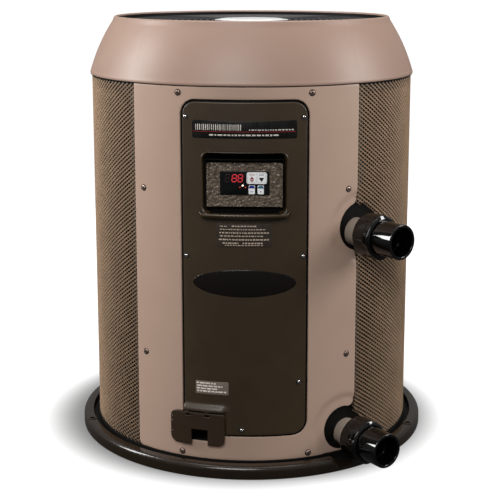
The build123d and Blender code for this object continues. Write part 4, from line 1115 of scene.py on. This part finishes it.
def rating_label():
    left, right = arc_at(-16.3, DOOR_R), arc_at(-5.2, DOOR_R)
    low, high = 173 * MM, 201 * MM
    film("rating_film", "label_pale", "pale", ["rating_label"], left, right, low, high, 1 * MM)
    # Start, stop and height of each line, in mm.
    lines = in_mm((2, 44, 196.6), (3, 58, 190.6), (2, 50, 184.8), (3, 66, 179.0))
    bm = bmesh.new()
    for k, (start, stop, z) in enumerate(lines):
        dashes(bm, left + start, left + stop, z, 3.0 * MM, 29 * k + 3, 12 * MM, ON_FILM)
    finished("rating_bars", bm, "label_pale", "pale_print")


# ---------------------------------------------------------------- wiring cover

def conduit_cover():
    """Cover over the wiring entry, notched for the conduit, with its hinge barrels and three small rivets."""
    cover_r = reach_of("conduit_cover")
    left, right = arc_at(-25.2, cover_r), arc_at(-6.5, cover_r)
    low, high = 60 * MM, 131 * MM
    notch, notch_half, notch_z = arc_at(-14.9, cover_r), 18 * MM, 94 * MM
    outline = rounded([
        (left, low, 17 * MM),
        (notch - notch_half, low, 0.8 * MM),
        (notch - notch_half, notch_z, 1 * MM),
        (notch + notch_half, notch_z, 1 * MM),
        (notch + notch_half, low, 0.8 * MM),
        (right, low, 14 * MM),
        (right, high, 6 * MM),
        (left, high, 13 * MM),
    ])
    slots = []
    for x in (arc_at(-19.3), arc_at(-12.6)):
        slots.append(rectangle(x - 5 * MM, x + 5 * MM, 123.4 * MM, 127.4 * MM, 1.8 * MM))
    rows = [k * 6 * MM for k in range(10, 23)]

    def bowed(across, up):
        """The plate is a little higher along its middle."""
        share = min(1.0, abs(across - (left + right) / 2) / (right - left) * 2)
        return -0.5 * MM * share ** 4

    bm = bmesh.new()
    add_plate(bm, outline, slots, 2 * MM, 1.1 * MM, on_drum(cover_r), rows=rows, relief=bowed)
    rivet = in_mm((0.1, 0), (1.5, 0), (1.5, 1.2), (0.8, 1.6), (0.1, 1.6))
    for z in (117 * MM, 107 * MM, 84 * MM):
        add_lathe(bm, rivet, 14, facing(-24.6, cover_r - 1.6 * MM, z), material=1)
    joint = JOINTS["wiring_cover_swing"]
    centre, axis = Vector(joint["pos_m"]), Vector(joint["axis"])
    for side in (-1, 1):
        start, stop = centre + axis * side * 17 * MM, centre + axis * side * 27 * MM
        add_tube(bm, [start, start.lerp(stop, 0.5), stop], 1.9 * MM, 14)
    cover = ("cover", "screw")
    finished("wiring_flap", bm, "bronze_door", cover, "conduit_cover", sharp=40, body="wiring_cover")


# ---------------------------------------------------------------- screws

def add_screw(bm, angle, radius, z, head, high, ring):
    """Domed screw with a cross recess drawn as two dark bars, standing in a dark ring; the bars and the ring
    are painted shade.
    """
    place = facing(angle, radius, z)
    axis, deep = 0.04 * MM, -2 * MM
    dome = [(axis, deep), (head, deep), (head, high * 0.25)]
    dome += [(head * cos(t), high * (0.25 + 0.75 * sin(t))) for t in (0.35, 0.7, 1.0, 1.25, 1.45)]
    dome += [(axis, high)]
    add_lathe(bm, dome, 24, place)
    collar_r, collar_low = head + 0.1 * MM, -0.6 * MM
    collar = [
        (collar_r, collar_low), (ring, collar_low), (ring, 0.25 * MM),
        (ring - 0.4 * MM, 0.5 * MM), (collar_r, 0.2 * MM),
    ]
    # The collar round the head takes the dark second finish: painted shade round the head.
    add_lathe(bm, collar, 24, place, material=1)
    # Two thin dark bars at the dome's top stand for the cross recess: painted shade, not a cut.
    for turn in (0, pi / 2):
        cut = place @ Matrix.Rotation(turn + 0.5, 4, "Z") @ Matrix.Translation((0, 0, high - 0.05 * MM))
        add_box(bm, (head * 0.9, head * 0.2, 0.2 * MM), cut, 0.03 * MM, 1)


PANEL_SCREWS = ((22, 804), (-22, 804), (36, 600), (-36, 600), (36, 244), (-36, 244), (21.6, 38), (-21.6, 38))
DOOR_SCREWS = ((19.2, 756), (-19.2, 756), (19.2, 468), (-19.2, 468), (18, 199), (-1, 97))


def screws(name, finish, replaced, places, radius, head, high, ring):
    """All screws of one kind. places holds angles and heights in mm, ring is the radius of the dark ring of
    painted shade round each head.
    """
    bm = bmesh.new()
    for angle, z in places:
        add_screw(bm, angle, radius, z * MM, head, high, ring)
    finished(name, bm, "screw_steel", (finish, "recess"), replaced)


# ---------------------------------------------------------------- unions

def port(name, angle, z, body, suffix):
    """Plain pipe, ribbed union nut and socket of one water connection, from the drum outwards."""
    out = facing(angle, 0, z)
    pipe_mm = PIPE_R / MM
    pipe = rounded(in_mm(
        (24, 322, 0), (pipe_mm, 322, 0), (pipe_mm, 391, 1), (42, 391, 0.5), (42, 408, 1), (24, 408, 1),
    ))
    lathe_piece(f"{name}_pipe", "grey_pvc", "grey_pvc", [f"water_port_{suffix}"], pipe, 72, out)

    def ribs(turn, radius, height):
        """Eight narrow grooves along the barrel and four lobes on the outer flange."""
        if radius < 43.5 * MM:
            return radius, height
        barrel = -1.1 * MM * smooth(cos(8 * turn), 0.86, 0.97)
        lobe = 2.8 * MM * smooth(cos(4 * turn), 0.1, 0.9) - 1.0 * MM
        share = smooth(height, 418 * MM, 421 * MM)
        return radius + barrel * (1 - share) + lobe * share, height

    nut = rounded(in_mm(
        (31, 387.4, 0.6), (44.6, 387.4, 2.5), (46, 392, 2), (46, 418, 1.2), (45.8, 421.5, 1), (45.8, 431, 2.6),
        (40, 434.6, 1.6), (37, 434.6, 0.4), (37, 410, 0.4), (43, 409.5, 0.2), (43, 391, 0.2), (31, 390.4, 0.2),
    ))
    black = ("black_gloss", "gloss_black")
    lathe_piece(f"{name}_nut", *black, [f"union_nut_{suffix}"], nut, 192, out, ribs, sharp=30, body=body)
    tail = rounded(in_mm(
        (30.2, 488, 1.4), (30.2, 450, 0.3), (27, 450, 0.3), (27, 411, 0.3),
        (42, 411, 0.5), (42, 416, 0.5), (36.5, 418, 0.8), (36.5, 488, 1.6),
    ))
    lathe_piece(f"{name}_socket", *black, [f"tailpiece_{suffix}"], tail, 96, out, sharp=30)


def port_shade_sheet(name, notch, angle, z):
    """Thin black sheet that closes a notch from behind, with a hole for the pipe; its black is painted shade
    in the gap round the pipe.
    """
    notch_angle, notch_z, radius = notch
    sheet_r = 351.2 * MM
    overlap, play = 7 * MM, 0.45 * MM
    outline = arc((arc_at(notch_angle, sheet_r), notch_z), radius + overlap, 0, 354)
    hole = arc((arc_at(angle, sheet_r), z), PIPE_R + play, 0, 354)
    sheet = (outline, [hole], 0.9 * MM, 0.2 * MM, on_drum(sheet_r))
    plate_piece(f"{name}_seal", "shroud_black", "shroud", [], *sheet)


# ---------------------------------------------------------------- fan and top

def fan_guard():
    """Concentric round wires on radial bars."""
    low, high = (corner.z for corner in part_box("fan_guard"))
    wire_r, bar_r = 2.1 * MM, 2.2 * MM
    bm = bmesh.new()
    turns = [2 * pi * k / 10 for k in range(10)]
    for radius in [88 * MM + 14 * MM * k for k in range(15)]:
        wire = [(radius + wire_r * cos(turn), high - wire_r + wire_r * sin(turn)) for turn in turns]
        add_lathe(bm, wire, 160)
    level = Vector((0, 0, low + bar_r + 0.4 * MM))
    for k in range(8):
        angle = radians(22.5 + 45 * k)
        way = Vector((cos(angle), sin(angle), 0))
        add_tube(bm, [way * reach * MM + level for reach in (60, 180, 297)], bar_r, 12)
    ring = rectangle(56 * MM, 63 * MM, low + 0.2 * MM, low + 4.2 * MM, 1 * MM)
    add_lathe(bm, ring, 96)
    finished("guard_wires", bm, "grille_black", "grille", "fan_guard", sharp=50)


def guard_plate():
    """Bright disc over the motor, with a pressed ring round its edge."""
    low, high = (corner.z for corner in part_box("fan_guard_plate"))
    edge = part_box("fan_guard_plate")[1].x
    axis = 0.1 * MM
    profile = [
        (axis, low), (edge, low), (edge, high - 3.6 * MM), (edge - 1.4 * MM, high - 2.4 * MM),
        (74 * MM, high - 2.2 * MM), (72 * MM, high - 1.4 * MM), (70 * MM, high - 0.3 * MM),
        (50 * MM, high), (axis, high),
    ]
    lathe_piece("guard_disc", "bright_plate", "bright", ["fan_guard_plate"], profile, 160, sharp=30)


def fan_shroud():
    """Ring round the blades; its rim stands up behind the cap's lip, and the guard rests on its shoulder."""
    low, high = (corner.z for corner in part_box("fan_shroud"))
    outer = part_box("fan_shroud")[1].x
    inner = 289 * MM
    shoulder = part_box("fan_guard")[0].z - 0.3 * MM
    profile = rounded([
        (inner, low, 0), (outer - 0.8 * MM, low, 2 * MM), (outer - 0.4 * MM, shoulder, 1 * MM),
        (outer, high, 1.2 * MM), (299.5 * MM, high, 1.2 * MM), (299.3 * MM, shoulder, 1 * MM),
        (294 * MM, shoulder, 2.5 * MM), (inner, shoulder - 9 * MM, 6 * MM),
    ])
    lathe_piece("shroud_ring", "shroud_black", "shroud", ["fan_shroud"], profile, 240, sharp=40)


base_pan()
tie_down_washers()
top_cap()
front_panel()
for index, (start, stop) in enumerate(zip(NETTING_ENDS, NETTING_ENDS[1:]), 1):
    netting(index, start, stop)
access_door()
control_hood()
control_plate()
display_window()
display_figures()
lamps()
key_block()
keys()
label_band()
instruction_sticker()
oval_badge()
rating_label()
conduit_cover()
screws(
    "panel_fixings", "screw_dull", "panel_screws", PANEL_SCREWS, PANEL_R,
    head=5.4 * MM, high=2.3 * MM, ring=7.0 * MM,
)
screws(
    "door_fixings", "screw", "door_screws", DOOR_SCREWS, DOOR_R,
    head=3.6 * MM, high=2.0 * MM, ring=6.2 * MM,
)
port("outlet", *OUTLET, "upper_nut", "upper")
port("inlet", *INLET, "lower_nut", "lower")
port_shade_sheet("outlet", NOTCHES[0], *OUTLET)
port_shade_sheet("inlet", NOTCHES[1], *INLET)
fan_guard()
guard_plate()
fan_shroud()

# ---------------------------------------------------------------- carried-over nodes

# top_ring takes the black shroud finish as painted shade along the seam under the cap, and control_tub as
# painted shade in the pocket behind the controls.
for node_name, finish in {
    "top_ring": "shroud", "support_posts": "inside_steel", "motor_mount": "inside_steel", "fan_motor": "motor",
    "fan_hub": "hub", "fan_blades": "fan", "door_frame": "shroud", "control_tub": "shroud",
    "conduit_box": "inside_steel", "electrical_box": "inside_steel", "contactor": "motor",
    "capacitor": "galvanised", "transformer": "motor", "terminal_block": "motor", "evaporator_coil": "coil",
    "coil_bends": "shaded_copper", "compressor": "enamel", "compressor_feet": "rubber", "accumulator": "enamel",
    "drier_and_valve": "copper", "copper_lines": "copper", "heat_exchanger": "shell_pvc",
    "union_seals": "rubber",
}.items():
    materials = frame["nodes"][node_name].data.materials
    materials.clear()
    materials.append(MAT[finish])

# ---------------------------------------------------------------- stage, light and camera

CAMERA_DISTANCE = 2.7708
CAMERA_HEIGHT = 1.0546
CAMERA_TURN = 2.3
CAMERA_PITCH = 10.48
LENS = 87.17
SHIFT = (-0.003, -0.12)
FLOOR_R = 2.6
# The lit part of the floor begins a little inside the base and is full this far outside it.
GLOW_FROM, GLOW_FULL = BASE_R - 0.02, BASE_R + 0.12
GLOW_MIDDLE = (-0.02, 0.02, 0)


def stage():
    """Floor that gives its own light except close round the base, where it stays dim like a contact shadow."""
    bm = bmesh.new()
    bmesh.ops.create_circle(bm, cap_ends=True, segments=96, radius=FLOOR_R)
    floor = placed("floor", mesh_of("floor", bm))
    paper = surface("floor_white", (0.17, 0.17, 0.17, 1), 0.8, vary=0.004, Specular_IOR_Level=0.0)
    tree = paper.node_tree
    bsdf = tree.nodes["Principled BSDF"]
    bsdf.inputs["Emission Color"].default_value = (1, 1, 1, 1)
    middle = node(tree, "VectorMath", operation="SUBTRACT")
    middle.inputs[1].default_value = GLOW_MIDDLE
    link(tree, node(tree, "TexCoord"), "Object", middle, 0)
    length = node(tree, "VectorMath", operation="LENGTH")
    link(tree, middle, "Vector", length, 0)
    pool = node(
        tree, "MapRange", interpolation_type="SMOOTHSTEP",
        From_Min=GLOW_FROM, From_Max=GLOW_FULL, To_Min=0.08, To_Max=1.1,
    )
    link(tree, length, "Value", pool, "Value")
    link(tree, pool, "Result", bsdf, "Emission Strength")
    floor.visible_glossy = False
    floor.visible_diffuse = False
    floor.data.materials.append(paper)


def area_light(name, place, aim, size, power):
    data = bpy.data.lights.new(name, "AREA")
    data.shape = "RECTANGLE"
    data.size, data.size_y = size
    data.energy = power
    light = placed(name, data)
    light.location = place
    light.rotation_euler = (Vector(aim) - Vector(place)).to_track_quat("-Z", "Y").to_euler()


def camera():
    data = bpy.data.cameras.new("camera")
    data.sensor_width = 36
    data.lens = LENS
    data.shift_x, data.shift_y = SHIFT
    turn = radians(CAMERA_TURN)
    made = placed("camera", data)
    made.location = (CAMERA_DISTANCE * sin(turn), -CAMERA_DISTANCE * cos(turn), CAMERA_HEIGHT)
    made.rotation_euler = (radians(90 - CAMERA_PITCH), 0, turn)
    scene.camera = made


def world():
    """White where it is seen directly. As a light it is dim, and darkest from below."""
    made = bpy.data.worlds.new("studio")
    made.use_nodes = True
    tree = made.node_tree
    back = tree.nodes["Background"]
    back.inputs["Color"].default_value = (1, 1, 1, 1)
    split = node(tree, "SeparateXYZ")
    link(tree, node(tree, "TexCoord"), "Generated", split, "Vector")
    height = node(tree, "MapRange", From_Min=-0.4, From_Max=0.9, To_Min=0.06, To_Max=0.42)
    link(tree, split, "Z", height, "Value")
    share = node(tree, "Mix", data_type="FLOAT", B=1.05)
    link(tree, node(tree, "LightPath"), "Is Camera Ray", share, "Factor")
    link(tree, height, "Result", share, "A")
    link(tree, share, "Result", back, "Strength")
    scene.world = made


stage()
world()
area_light("left", (-2.5, -0.25, 1.7), (0, 0, 0.75), (0.6, 1.4), 58)
area_light("right", (2.6, -0.5, 1.7), (0, 0, 0.75), (0.6, 1.4), 48)
area_light("front", (-0.6, -3.2, 2.6), (0, 0, 0.7), (1.6, 1.2), 66)
area_light("top", (0, 0.4, 3.2), (0, 0, 0), (2.4, 2.0), 50)
camera()
scene.view_settings.view_transform = "Standard"
